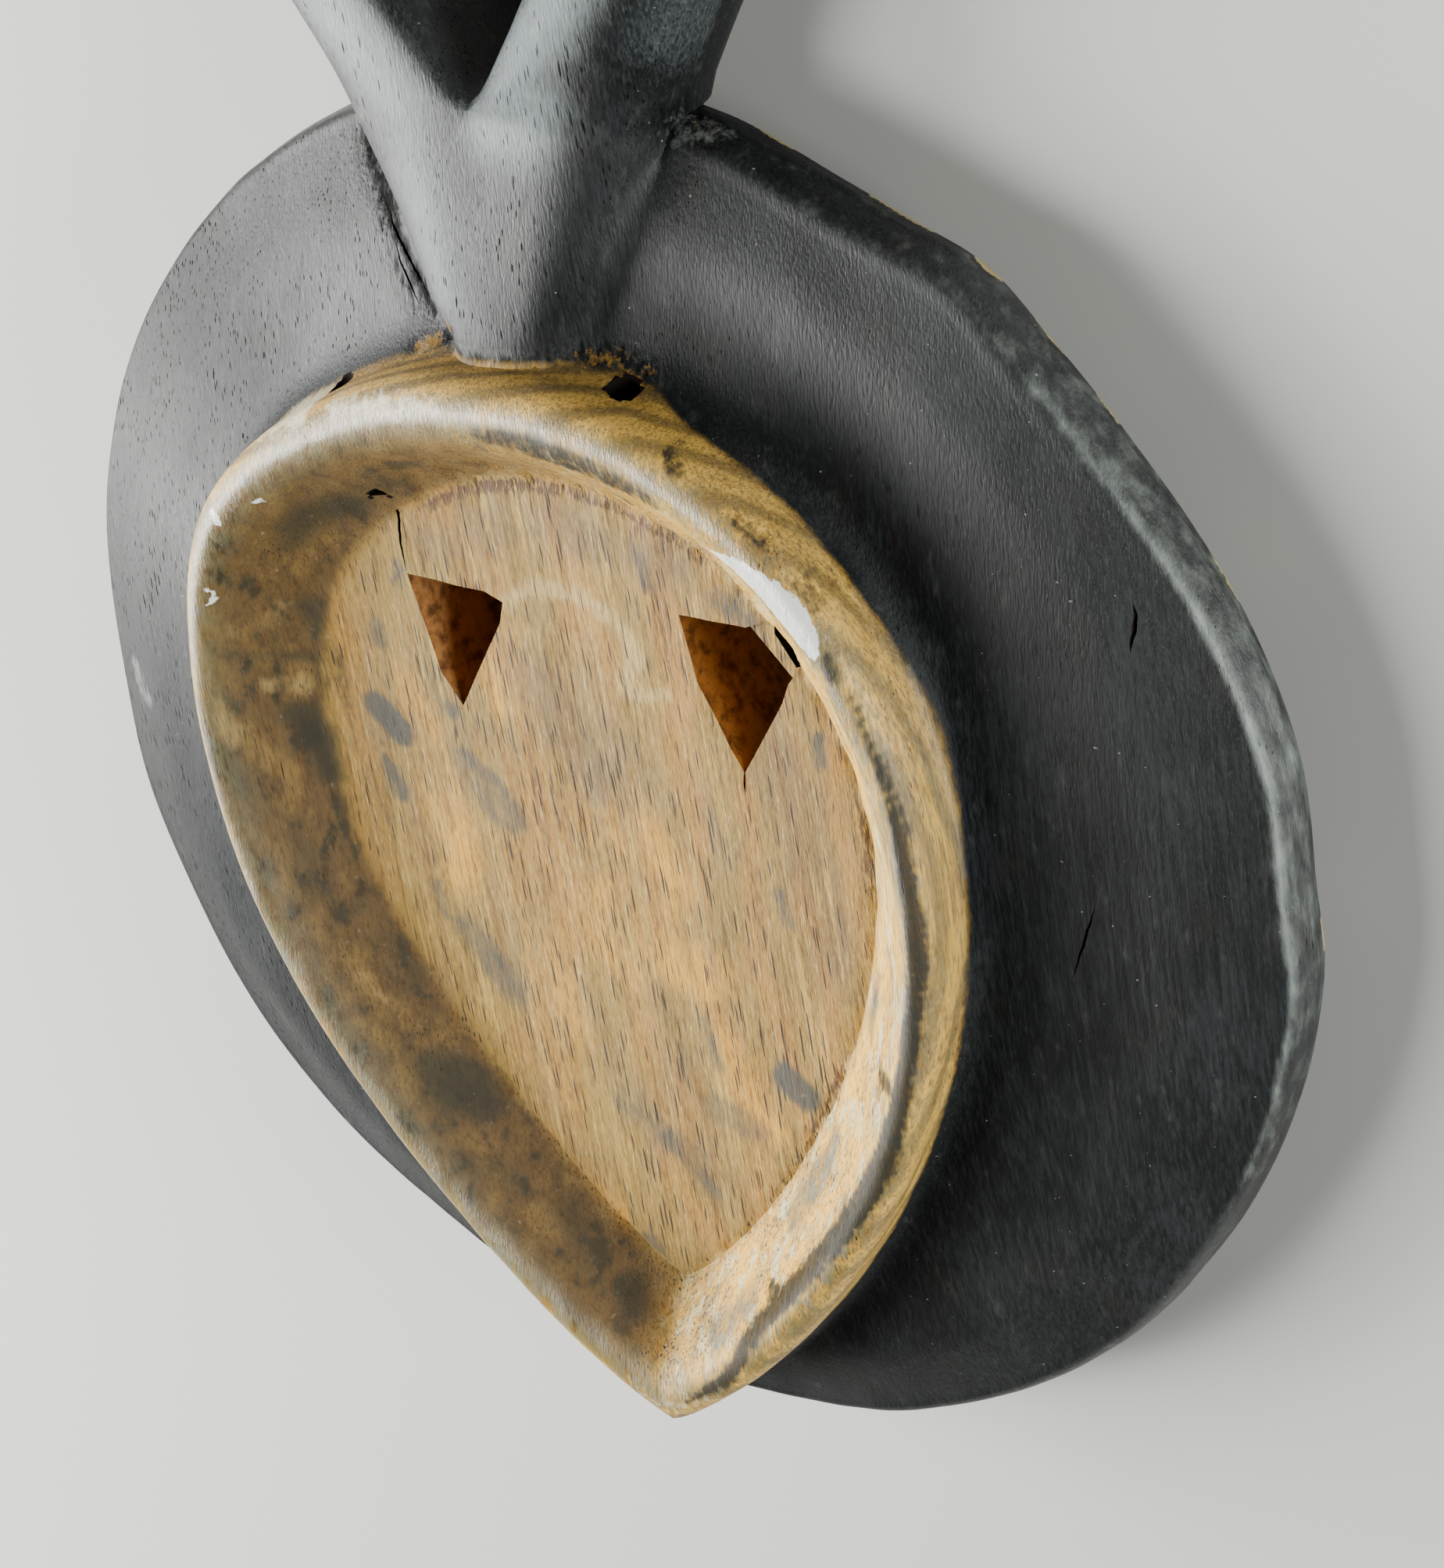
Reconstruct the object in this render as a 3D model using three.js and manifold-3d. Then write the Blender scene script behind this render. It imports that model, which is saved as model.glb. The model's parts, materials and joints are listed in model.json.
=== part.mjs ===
// A disc-faced festival mask with horns, carved from one block of wood.
// It lies face down: +Z is the back of the mask, which the wearer sees, and +Y runs towards the horns.
// Millimetres. Plan places are measured from the middle of the disc, and the finished mask is then
// moved so that the middle of its underside is the origin.
import * as THREE from 'three';
import Module from 'manifold-3d';
import { mergeVertices } from 'three/addons/utils/BufferGeometryUtils.js';

// Driving dimensions: the disc
const DISC_RADIUS = 135;
const EDGE_THICKNESS = 12.2;
const EDGE_ROUNDING = 1.6;
const BACK_CROWN = 24;
const BACK_RING_STEP = 12;
const FRONT_PLANE = 12;
const FRONT_FIELD_DEPTH = 3;
const BORDER_WIDTH = 15;
const BORDER_SLOPE = 1;
const DISC_SIDES = 84;

// Driving dimensions: the teardrop rim around the face hollow
const FLOOR_ABOVE_ARRIS = 14;
const CREST_ABOVE_FLOOR = 16.5;
const TIP_DROP = 0.2;
const WIDEST_Y = 6;
const SIDE_ROUNDNESS = 0.85;
const CLEARING = { halfWidth: 77, top: 86, tip: -118 };
const TOP_STEPS = 30;
const SIDE_STEPS = 16;

// Driving dimensions: trunk and horns
const HORN_STEPS = 40;
const HORN_SIDES = 20;
const CLOSER_TOWARDS_TIP = 1.2;

// Driving dimensions: eye holes, as the corners of two triangles that point to the chin
const EYES = {
  left: { outer: [-34.4, 48.2], inner: [-13.0, 44.8], low: [-27.1, 21.9] },
  right: { outer: [50.6, 40.5], inner: [27.5, 47.2], low: [35.6, 16.6] },
};
const EYE_BORDER_SCALE = 2.1;
const EYE_BORDER_HEIGHT = 2.6;

// Driving dimensions: the holes for the holding string, through the top of the rim
const STRING_HOLE = { radius: 3.4, length: 34, aboveArris: 17.5, lean: 0.19, sides: 16 };
const STRING_HOLE_X = { left: -37.0, right: 25.0 };
const STRING_HOLE_Y = 80;

// Driving dimensions: the plain front
const MOUTH = { y: -62, width: 86, height: 38, frame: 6, grooveDepth: 4, corner: 4, innerCorner: 1 };
const TEETH = { perRow: 6, rows: 2, gap: 2, setBack: 1.2, corner: 1.5, cornerSteps: 2 };
const NOSE = { top: 38, bottom: -30, rootWidth: 8, tipWidth: 20, rootHeight: 2, tipHeight: 9 };
const NOSE_MESH = { sides: 16, steps: 8, roundedFrom: 0.85, roundedOver: 0.153 };

// Heights above the surface that the mask lies on
const ARRIS_Z = FRONT_PLANE + EDGE_THICKNESS;
const FLOOR_Z = ARRIS_Z + FLOOR_ABOVE_ARRIS;
const FIELD_Z = FRONT_PLANE + FRONT_FIELD_DEPTH;
const BURIED = 4;

const STAINED_WOOD = new THREE.MeshStandardMaterial({ color: '#47484b', roughness: 0.55, metalness: 0 });

const wasm = await Module();
wasm.setup();

function toSolid(geometry) {
  const bare = geometry.clone();
  bare.deleteAttribute('normal');
  bare.deleteAttribute('uv');
  const merged = mergeVertices(bare, 1e-4);
  return new wasm.Manifold(new wasm.Mesh({
    numProp: 3,
    vertProperties: new Float32Array(merged.attributes.position.array),
    triVerts: new Uint32Array(merged.index.array),
  }));
}

function toGeometry(solid) {
  const mesh = solid.getMesh();
  const geometry = new THREE.BufferGeometry();
  geometry.setAttribute('position', new THREE.BufferAttribute(new Float32Array(mesh.vertProperties), 3));
  geometry.setIndex(new THREE.BufferAttribute(new Uint32Array(mesh.triVerts), 1));
  geometry.computeVertexNormals();
  return geometry;
}

// A closed skin over rings of equal count, each a list of [x, y, z], with a fan over either end.
function loft(rings) {
  const count = rings[0].length;
  const positions = rings.flat(2);
  const index = [];
  for (let ring = 0; ring + 1 < rings.length; ring += 1) {
    for (let side = 0; side < count; side += 1) {
      const a = ring * count + side;
      const b = ring * count + (side + 1) % count;
      index.push(a, b, b + count, a, b + count, a + count);
    }
  }
  const closeEnd = (ring, first, flipped) => {
    const middle = positions.length / 3;
    positions.push(...[0, 1, 2].map((axis) => ring.reduce((sum, point) => sum + point[axis], 0) / count));
    for (let side = 0; side < count; side += 1) {
      const a = first + side;
      const b = first + (side + 1) % count;
      index.push(flipped ? b : a, flipped ? a : b, middle);
    }
  };
  closeEnd(rings[0], 0, true);
  closeEnd(rings.at(-1), (rings.length - 1) * count, false);
  const geometry = new THREE.BufferGeometry();
  geometry.setAttribute('position', new THREE.Float32BufferAttribute(positions, 3));
  geometry.setIndex(index);
  return toSolid(geometry);
}

// A value read off a row of [place, value] stations along a smooth curve through them.
function alongStations(stations, place) {
  const last = stations.length - 1;
  const at = stations.findIndex(([to]) => place <= to);
  if (at === 0) return stations[0][1];
  if (at < 0) return stations[last][1];
  const slope = (i) => {
    const [before, after] = [stations[Math.max(i - 1, 0)], stations[Math.min(i + 1, last)]];
    return (after[1] - before[1]) / (after[0] - before[0]);
  };
  const [[from, fromValue], [to, toValue]] = [stations[at - 1], stations[at]];
  const span = to - from;
  const t = (place - from) / span;
  const blend = t * t * (3 - 2 * t);
  return fromValue + (toValue - fromValue) * blend
    + span * slope(at - 1) * t * (1 - t) ** 2 - span * slope(at) * t * t * (1 - t);
}

function superellipse(angle, fullness) {
  const power = (value) => Math.sign(value) * Math.abs(value) ** (2 / fullness);
  return [power(Math.cos(angle)), power(Math.sin(angle))];
}

// The domed back of the disc, as a height at a distance from its middle
function backHeight(radius) {
  return ARRIS_Z + BACK_CROWN * (1 - (radius / DISC_RADIUS) ** 2);
}

function makeDisc() {
  const fieldRadius = DISC_RADIUS - BORDER_WIDTH;
  const crownRadius = 4 * BACK_RING_STEP;
  const profile = [
    [0, FIELD_Z],
    [fieldRadius, FIELD_Z],
    [fieldRadius + BORDER_SLOPE, FRONT_PLANE],
    [DISC_RADIUS - EDGE_ROUNDING, FRONT_PLANE],
    [DISC_RADIUS, FRONT_PLANE + EDGE_ROUNDING],
    [DISC_RADIUS, ARRIS_Z - EDGE_ROUNDING],
  ];
  for (let radius = DISC_RADIUS - EDGE_ROUNDING; radius > crownRadius; radius -= BACK_RING_STEP) {
    profile.push([radius, backHeight(radius)]);
  }
  profile.push([0, backHeight(crownRadius)]);
  const points = profile.map(([radius, height]) => new THREE.Vector2(radius, height));
  return toSolid(new THREE.LatheGeometry(points, DISC_SIDES).rotateX(Math.PI / 2));
}

// How far the carver left the rim fuller at its upper left, by direction from the middle in degrees
const SHOULDER = [
  [-180, 2.1], [-160, 1.5], [-140, 0.5], [-125, 0], [100, 0], [115, 0.3], [125, 2], [140, 4.2], [155, 3],
  [170, 2.4], [180, 2.1],
];

// The inner rings of the rim take only a part of the fullness at the shoulder
function withShoulder([x, y], halfWidth) {
  const share = 0.5 + 0.5 * THREE.MathUtils.clamp((halfWidth - 60) / 16, 0, 1);
  const outwards = share * alongStations(SHOULDER, THREE.MathUtils.radToDeg(Math.atan2(y, x)));
  const scale = 1 + outwards / Math.hypot(x, y);
  return [x * scale, y * scale];
}

// A teardrop in plan: a full round top and sides that draw in to a point at the chin
function teardrop({ halfWidth, top, tip, fullness = 2.2, taper = 1.9 }) {
  const outline = [];
  for (let step = 0; step <= TOP_STEPS; step += 1) {
    const [across, up] = superellipse(Math.PI * step / TOP_STEPS, fullness);
    outline.push([halfWidth * across, WIDEST_Y + (top - WIDEST_Y) * Math.abs(up)]);
  }
  const drawnIn = (step) => {
    const down = step / SIDE_STEPS;
    return [halfWidth * (1 - down ** taper) ** SIDE_ROUNDNESS, WIDEST_Y - (WIDEST_Y - tip) * down];
  };
  for (let step = 1; step <= SIDE_STEPS; step += 1) {
    const [x, y] = drawnIn(step);
    outline.push([-x, y]);
  }
  for (let step = SIDE_STEPS - 1; step >= 1; step -= 1) outline.push(drawnIn(step));
  return outline.map((point) => withShoulder(point, halfWidth));
}

// The rim's section, from the foot on the disc, over the lip and down to the floor of the hollow.
// `above` is a height over the floor, and `onBack` one over the domed back of the disc.
const RIM_SECTION = [
  { halfWidth: 84.6, top: 98.0, tip: -129.6, onBack: -0.6, taper: 1.72 },
  { halfWidth: 82.6, top: 95.0, tip: -128.4, onBack: 2.4, taper: 1.8 },
  { halfWidth: 81.8, top: 93.8, tip: -127.6, onBack: 6.0, taper: 1.86 },
  { halfWidth: 81.6, top: 93.4, tip: -127.2, above: 10.6 },
  { halfWidth: 80.6, top: 91.8, tip: -125.8, above: 14.6 },
  { halfWidth: 78.0, top: 88.0, tip: -121.6, above: CREST_ABOVE_FLOOR },
  { halfWidth: 75.2, top: 83.0, tip: -115.6, above: 15.2 },
  { halfWidth: 71.6, top: 79.0, tip: -110.9, above: 11.0 },
  { halfWidth: 66.2, top: 75.0, tip: -105.6, above: 5.0, fullness: 2.1, taper: 1.8 },
  { halfWidth: 62.6, top: 71.8, tip: -101.6, above: 1.2, fullness: 2.0, taper: 1.75 },
  { halfWidth: 60.8, top: 69.9, tip: -99.5, above: 0, fullness: 2.0, taper: 1.75 },
];

function rimRing(station) {
  return teardrop(station).map(([x, y]) => {
    if (station.onBack !== undefined) return [x, y, backHeight(Math.hypot(x, y)) + station.onBack];
    const towardsTip = Math.max(0, (WIDEST_Y - y) / (WIDEST_Y - station.tip));
    return [x, y, FLOOR_Z + station.above * (1 - TIP_DROP * towardsTip ** 2)];
  });
}

function makeRim() {
  const buried = teardrop(RIM_SECTION[0]).map(([x, y]) => [x, y, ARRIS_Z - BURIED]);
  return loft([buried, ...RIM_SECTION.map(rimRing)]);
}

// What the hollow takes out of the domed disc, up to the middle of the rim's wall
function makeClearing() {
  const outline = teardrop(CLEARING);
  return loft([FLOOR_Z - BURIED / 2, FLOOR_Z + 3 * CREST_ABOVE_FLOOR].map(
    (height) => outline.map(([x, y]) => [x, y, height]),
  ));
}

// One half of the trunk with its horn, as stations of [distance along Y, value].
// Below the notch the inner side lies just past the middle line, so that the halves join into the trunk.
const OUTER_X = [
  [88, 14.4], [95, 16.9], [105, 21.5], [119, 27.8], [130, 31.8], [139, 35.6], [147, 39.2], [155, 43.4],
  [165, 49.2], [175, 55.4], [200, 67], [225, 73.8], [250, 75.1], [275, 70], [292, 61.5], [299, 56.4],
  [303, 51],
];
const INNER_X = [
  [88, -1], [130, -1], [137.8, -1], [139, 0], [148, 7], [155, 12], [165, 19.4], [175, 26.6],
  [200, 41.4], [225, 51], [250, 55.6], [275, 54], [292, 49.6], [299, 47.4], [303, 47],
];
const RIDGE_X = [
  [88, 0], [105, 3], [125, 8], [139, 14], [155, 25], [175, 41], [200, 54], [250, 65.4], [292, 55.5], [303, 49],
];
const BACK_Z = [
  [88, ARRIS_Z + 20.9], [105, ARRIS_Z + 19.6], [119, ARRIS_Z + 16.9], [139, ARRIS_Z + 14.2],
  [155, ARRIS_Z + 13.5], [175, 37], [200, 35.2], [225, 33], [250, 30.4], [275, 27.6], [292, 25.4],
  [299, 24], [303, 21.6],
];
const FACE_Z = [
  [88, FIELD_Z + BURIED], [105, FIELD_Z + 1], [119, 9], [130, 3.4], [139, 0.4], [155, -1.2], [175, -1],
  [200, 1.6], [225, 5.2], [250, 9], [275, 12.8], [292, 15.6], [299, 17.4], [303, 19.6],
];
const OUTER_FULLNESS = [[88, 2.1], [125, 2.3], [147, 2.5], [170, 2.6]];
const INNER_FULLNESS = [[88, 9], [140, 6], [175, 2.8]];

// The section of the right half at distance `y`: highest at the ridge, rounded to either side
function sectionRing(y) {
  const [outer, inner, ridge] = [OUTER_X, INNER_X, RIDGE_X].map((stations) => alongStations(stations, y));
  const [back, face] = [alongStations(BACK_Z, y), alongStations(FACE_Z, y)];
  return Array.from({ length: HORN_SIDES }, (_, side) => {
    const angle = -2 * Math.PI * (side + 0.5) / HORN_SIDES;
    const isOuter = Math.cos(angle) > 0;
    const fullness = alongStations(isOuter ? OUTER_FULLNESS : INNER_FULLNESS, y);
    const [across, up] = superellipse(angle, fullness);
    return [
      ridge + (isOuter ? outer - ridge : ridge - inner) * across,
      y,
      (back + face) / 2 + (back - face) / 2 * up,
    ];
  });
}

function makeHorn(side) {
  const [from, to] = [OUTER_X[0][0], OUTER_X.at(-1)[0]];
  const rings = Array.from({ length: HORN_STEPS + 1 }, (_, step) => {
    const ring = sectionRing(from + (to - from) * (1 - (1 - step / HORN_STEPS) ** CLOSER_TOWARDS_TIP));
    return side === 'right' ? ring : ring.map(([x, y, z]) => [-x, y, z]).reverse();
  });
  return loft(rings);
}

// A flat plate with the given outline in plan, from `bottom` to `top`
function plate(shape, bottom, top, curveSegments = 6) {
  const depth = top - bottom;
  const geometry = new THREE.ExtrudeGeometry(shape, { depth, bevelEnabled: false, curveSegments });
  return toSolid(geometry.translate(0, 0, bottom));
}

function makeEyeHole({ outer, inner, low }) {
  const corners = [outer, inner, low].map(([x, y]) => new THREE.Vector2(x, y));
  return plate(new THREE.Shape(corners), -BURIED, FLOOR_Z + BURIED);
}

// The raised, rounded border that frames an eye hole on the front
function makeEyeBorder({ outer, inner, low }) {
  const corners = [outer, inner, low].map(([x, y]) => new THREE.Vector2(x, y));
  const middle = corners.reduce((sum, corner) => sum.add(corner), new THREE.Vector2()).divideScalar(3);
  const outwards = (corner) => corner.clone().sub(middle).multiplyScalar(EYE_BORDER_SCALE).add(middle);
  const spread = corners.map(outwards);
  const halfway = spread.map((corner, i) => corner.clone().lerp(spread[(i + 1) % 3], 0.5));
  const shape = new THREE.Shape();
  shape.moveTo(halfway[2].x, halfway[2].y);
  spread.forEach((corner, i) => shape.quadraticCurveTo(corner.x, corner.y, halfway[i].x, halfway[i].y));
  return plate(shape, FIELD_Z - EYE_BORDER_HEIGHT, FIELD_Z + BURIED);
}

function makeStringHole(side) {
  const lean = side === 'left' ? -STRING_HOLE.lean : STRING_HOLE.lean;
  const { radius, length, aboveArris, sides } = STRING_HOLE;
  const geometry = new THREE.CylinderGeometry(radius, radius, length, sides);
  geometry.rotateZ(-lean);
  geometry.translate(STRING_HOLE_X[side], STRING_HOLE_Y, ARRIS_Z + aboveArris);
  return toSolid(geometry);
}

function roundedRectangle(width, height, corner, x, y) {
  const [halfWidth, halfHeight] = [width / 2 - corner, height / 2 - corner];
  const shape = new THREE.Shape();
  shape.absarc(x + halfWidth, y + halfHeight, corner, 0, Math.PI / 2);
  shape.absarc(x - halfWidth, y + halfHeight, corner, Math.PI / 2, Math.PI);
  shape.absarc(x - halfWidth, y - halfHeight, corner, Math.PI, 1.5 * Math.PI);
  shape.absarc(x + halfWidth, y - halfHeight, corner, 1.5 * Math.PI, 2 * Math.PI);
  return shape;
}

// The box-shaped mouth with two rows of teeth, on which the mask rests
function makeMouth() {
  const { y, width, height, frame, grooveDepth, corner, innerCorner } = MOUTH;
  const [innerWidth, innerHeight] = [width - 2 * frame, height - 2 * frame];
  let mouth = plate(roundedRectangle(width, height, corner, 0, y), 0, FIELD_Z + BURIED);
  const recess = roundedRectangle(innerWidth, innerHeight, innerCorner, 0, y);
  mouth = mouth.subtract(plate(recess, -BURIED, grooveDepth));
  const [pitchX, pitchY] = [innerWidth / TEETH.perRow, innerHeight / TEETH.rows];
  for (let row = 0; row < TEETH.rows; row += 1) {
    for (let tooth = 0; tooth < TEETH.perRow; tooth += 1) {
      const toothX = (tooth + 0.5) * pitchX - innerWidth / 2;
      const toothY = y + (row + 0.5) * pitchY - innerHeight / 2;
      const [toothWidth, toothHeight] = [pitchX - TEETH.gap, pitchY - TEETH.gap];
      const outline = roundedRectangle(toothWidth, toothHeight, TEETH.corner, toothX, toothY);
      mouth = mouth.add(plate(outline, TEETH.setBack, grooveDepth + BURIED, TEETH.cornerSteps));
    }
  }
  return mouth;
}

// A slim ridge that widens and rises towards its lower end
function makeNose() {
  const { sides, steps, roundedFrom, roundedOver } = NOSE_MESH;
  const rings = Array.from({ length: steps + 1 }, (_, step) => {
    const down = step / steps;
    const rounding = Math.sqrt(1 - (Math.max(0, down - roundedFrom) / roundedOver) ** 2);
    const y = NOSE.top + (NOSE.bottom - NOSE.top) * down;
    const halfWidth = THREE.MathUtils.lerp(NOSE.rootWidth, NOSE.tipWidth, down) / 2 * rounding;
    const height = THREE.MathUtils.lerp(NOSE.rootHeight, NOSE.tipHeight, down) * rounding;
    return Array.from({ length: sides }, (unused, side) => {
      const [across, up] = superellipse(2 * Math.PI * side / sides, 2);
      return [halfWidth * across, y, FIELD_Z + height * up];
    });
  });
  return loft(rings);
}

// What lies below the surface that the mask rests on, which gives the horns their worn flats
function makeGround() {
  const size = 4 * DISC_RADIUS;
  return toSolid(new THREE.BoxGeometry(size, size, 2 * BURIED).translate(0, DISC_RADIUS / 2, -BURIED));
}

function makeMask() {
  let mask = makeDisc().subtract(makeClearing());
  const joined = [
    makeRim(), makeHorn('left'), makeHorn('right'),
    makeNose(), makeMouth(), makeEyeBorder(EYES.left), makeEyeBorder(EYES.right),
  ];
  const cut = [
    makeEyeHole(EYES.left), makeEyeHole(EYES.right),
    makeStringHole('left'), makeStringHole('right'), makeGround(),
  ];
  joined.forEach((solid) => { mask = mask.add(solid); });
  cut.forEach((solid) => { mask = mask.subtract(solid); });
  return toGeometry(mask);
}

const geometry = makeMask();
geometry.computeBoundingBox();
const centre = geometry.boundingBox.getCenter(new THREE.Vector3());
const mask = new THREE.Mesh(geometry, STAINED_WOOD);
mask.name = 'mask';
mask.position.set(-centre.x, -centre.y, -geometry.boundingBox.min.z);

const group = new THREE.Group();
group.add(mask);
export default group;
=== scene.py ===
# %% [markdown]
# A disc-faced festival mask with two horns, carved from one block of wood. It lies face down, so what
# shows is its back: a domed disc stained black, and a teardrop rim of bare wood around the hollow that
# took the wearer's face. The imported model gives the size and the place. It is loaded first, and every
# measure below is in millimetres from the middle of the disc, until the last step turns it to metres.

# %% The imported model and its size
import json
import math

import bpy
import numpy as np
from mathutils import Matrix, Vector, kdtree, noise

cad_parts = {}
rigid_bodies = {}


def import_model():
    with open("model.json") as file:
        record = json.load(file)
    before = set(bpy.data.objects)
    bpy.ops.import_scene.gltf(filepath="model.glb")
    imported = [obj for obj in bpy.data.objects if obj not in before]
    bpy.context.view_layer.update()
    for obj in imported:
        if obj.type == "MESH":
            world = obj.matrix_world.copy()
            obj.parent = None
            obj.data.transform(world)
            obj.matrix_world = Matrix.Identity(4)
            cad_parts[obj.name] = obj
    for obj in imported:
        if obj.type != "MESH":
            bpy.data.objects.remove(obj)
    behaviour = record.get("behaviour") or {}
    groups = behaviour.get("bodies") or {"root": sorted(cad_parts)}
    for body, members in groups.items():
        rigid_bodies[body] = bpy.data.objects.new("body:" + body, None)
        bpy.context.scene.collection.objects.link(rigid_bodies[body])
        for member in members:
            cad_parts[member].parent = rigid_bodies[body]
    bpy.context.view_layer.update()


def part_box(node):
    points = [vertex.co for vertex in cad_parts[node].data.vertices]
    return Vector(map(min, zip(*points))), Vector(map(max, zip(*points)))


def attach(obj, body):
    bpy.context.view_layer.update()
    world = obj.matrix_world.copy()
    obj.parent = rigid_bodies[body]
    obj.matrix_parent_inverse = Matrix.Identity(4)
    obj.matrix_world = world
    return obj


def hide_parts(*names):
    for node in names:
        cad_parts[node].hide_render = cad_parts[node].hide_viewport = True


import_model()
MM = 0.001
lowest, highest = (np.array(corner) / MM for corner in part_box("mask"))
DISC_RADIUS = (highest[0] - lowest[0]) / 2
MIDDLE_Y = lowest[1] + DISC_RADIUS
HORN_TIP_Y = highest[1] - MIDDLE_Y
print(f"disc radius {DISC_RADIUS:.1f} mm, horn tips {HORN_TIP_Y:.1f} mm from its middle")

# %% [markdown]
# The camera comes first, because every choice of detail depends on what it sees. The mask was seen from
# its upper right, 45 degrees above its back, with the horns at the top of the frame. A mask that lies
# down is seen the same way by a camera that looks down on it and is rolled about its own axis. It aims
# at the middle of the disc, at the height of the arris where the back meets the edge.

# %% The camera
CAMERA_AZIMUTH = 127.6
CAMERA_ELEVATION = 44.8
CAMERA_ROLL = -128.1
CAMERA_DISTANCE = 675
FRAME_RIGHT_OF_MIDDLE = 14.7
FRAME_ABOVE_MIDDLE = 2.4
LENS = 82.6
SENSOR = 36
ARRIS_Z = 24.2
MIDDLE = Vector((0, MIDDLE_Y, ARRIS_Z))

azimuth, elevation = math.radians(CAMERA_AZIMUTH), math.radians(CAMERA_ELEVATION)
towards_camera = Vector((
    math.sin(azimuth) * math.cos(elevation),
    -math.cos(azimuth) * math.cos(elevation),
    math.sin(elevation),
))
turned = (-towards_camera).to_track_quat("-Z", "Y").to_matrix().to_4x4()
turned = turned @ Matrix.Rotation(math.radians(CAMERA_ROLL), 4, "Z")
camera = bpy.data.objects.new("camera", bpy.data.cameras.new("camera"))
bpy.context.collection.objects.link(camera)
from_middle = turned @ Vector((FRAME_RIGHT_OF_MIDDLE, FRAME_ABOVE_MIDDLE, CAMERA_DISTANCE))
camera.matrix_world = Matrix.Translation((from_middle + MIDDLE) * MM) @ turned
camera.data.lens = LENS
camera.data.sensor_fit = "VERTICAL"
camera.data.sensor_height = SENSOR
bpy.context.scene.camera = camera
print("camera at", [round(value, 3) for value in camera.matrix_world.translation], "m")

# %% [markdown]
# Colours are written as sRGB hex values, as a paint card gives them, and one function turns them to the
# linear values that a shader mixes. A material is a web of nodes, and one small function adds a node with
# its settings and its links. Values that are the same all over a surface sit on the shader itself.

# %% Colours, nodes and materials
def linear(colour):
    """An sRGB hex colour as linear red, green, blue and alpha."""
    parts = [int(colour[place:place + 2], 16) / 255 for place in (1, 3, 5)]
    return [part / 12.92 if part <= 0.04045 else ((part + 0.055) / 1.055) ** 2.4 for part in parts] + [1]


def node(tree, kind, inputs=None, **settings):
    """Adds one node to a tree, with its settings. An input is either a socket to link or a value."""
    made = tree.nodes.new(kind)
    for name, value in settings.items():
        setattr(made, name, value)
    for name, value in (inputs or {}).items():
        if isinstance(value, bpy.types.NodeSocket):
            tree.links.new(value, made.inputs[name])
        else:
            made.inputs[name].default_value = value
    return made


def new_material(name, **constants):
    """A material with one shader, whose constant values sit on the shader's own sockets."""
    made = bpy.data.materials.new(name)
    made.use_nodes = True
    shader = made.node_tree.nodes["Principled BSDF"]
    for socket, value in constants.items():
        shader.inputs[socket.replace("_", " ")].default_value = value
    return made, made.node_tree, shader


print("mid grey #808080 is", round(linear("#808080")[0], 3), "in linear light")

# %% [markdown]
# All the light is soft. A wide window of light stands low on the left, so that black wood facing it turns
# silvery and the rim throws its shadow to the right. A smaller one stands high on the same side. A weak
# light on the right picks out the far edge of the disc, and the room gives little. The floor is matt
# backdrop paper, pale and without a pattern, so that the eye stays on the mask.

# %% Floor and lights
FLOOR_SIZE = 6
LIGHT_DISTANCE = 1.2
LIGHTS = {
    "window": dict(direction=(-0.89, 0.02, 0.44), width=0.95, height=0.6, watts=46, colour="#fafbf8"),
    "high window": dict(direction=(-0.53, 0, 0.85), width=0.5, height=0.5, watts=14, colour="#fafbf8"),
    "far side": dict(direction=(0.97, 0, 0.26), width=0.5, height=0.5, watts=20, colour="#f6faf8"),
}
ROOM_COLOUR, ROOM_STRENGTH = "#e8e8e6", 0.05


def area_light(name, direction, width, height, watts, colour):
    """A soft box of light that points at the disc from a direction, with its sizes in metres."""
    light = bpy.data.objects.new(name, bpy.data.lights.new(name, "AREA"))
    light.data.shape = "RECTANGLE"
    light.data.size, light.data.size_y = width, height
    light.data.energy = watts
    light.data.color = linear(colour)[:3]
    light.location = MIDDLE * MM + Vector(direction).normalized() * LIGHT_DISTANCE
    light.rotation_euler = (MIDDLE * MM - light.location).to_track_quat("-Z", "Y").to_euler()
    bpy.context.collection.objects.link(light)


half = FLOOR_SIZE / 2
corners = [(-half, -half, 0), (half, -half, 0), (half, half, 0), (-half, half, 0)]
floor_mesh = bpy.data.meshes.new("floor")
floor_mesh.from_pydata(corners, [], [(0, 1, 2, 3)])
floor = bpy.data.objects.new("floor", floor_mesh)
bpy.context.collection.objects.link(floor)
paper, _, _ = new_material("pale backdrop paper", Base_Color=linear("#c9c7c3"), Roughness=0.85)
floor.data.materials.append(paper)
for name, settings in LIGHTS.items():
    area_light(name, **settings)
world = bpy.data.worlds.new("studio")
world.use_nodes = True
room = world.node_tree.nodes["Background"]
room.inputs["Color"].default_value = linear(ROOM_COLOUR)
room.inputs["Strength"].default_value = ROOM_STRENGTH
bpy.context.scene.world = world
print(f"{len(LIGHTS)} lights over a floor {FLOOR_SIZE} m wide")

# %% [markdown]
# The carver's surface is one skin, so it is modelled as one: rings of points around the middle of the
# disc, from the floor of the hollow up over the rim, out across the dome, round the edge and back under
# the front. Each ring is an outline and a height. Between a few rings that are measured, a smooth curve
# fills in the others, which is how a lofted form is drawn.

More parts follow.
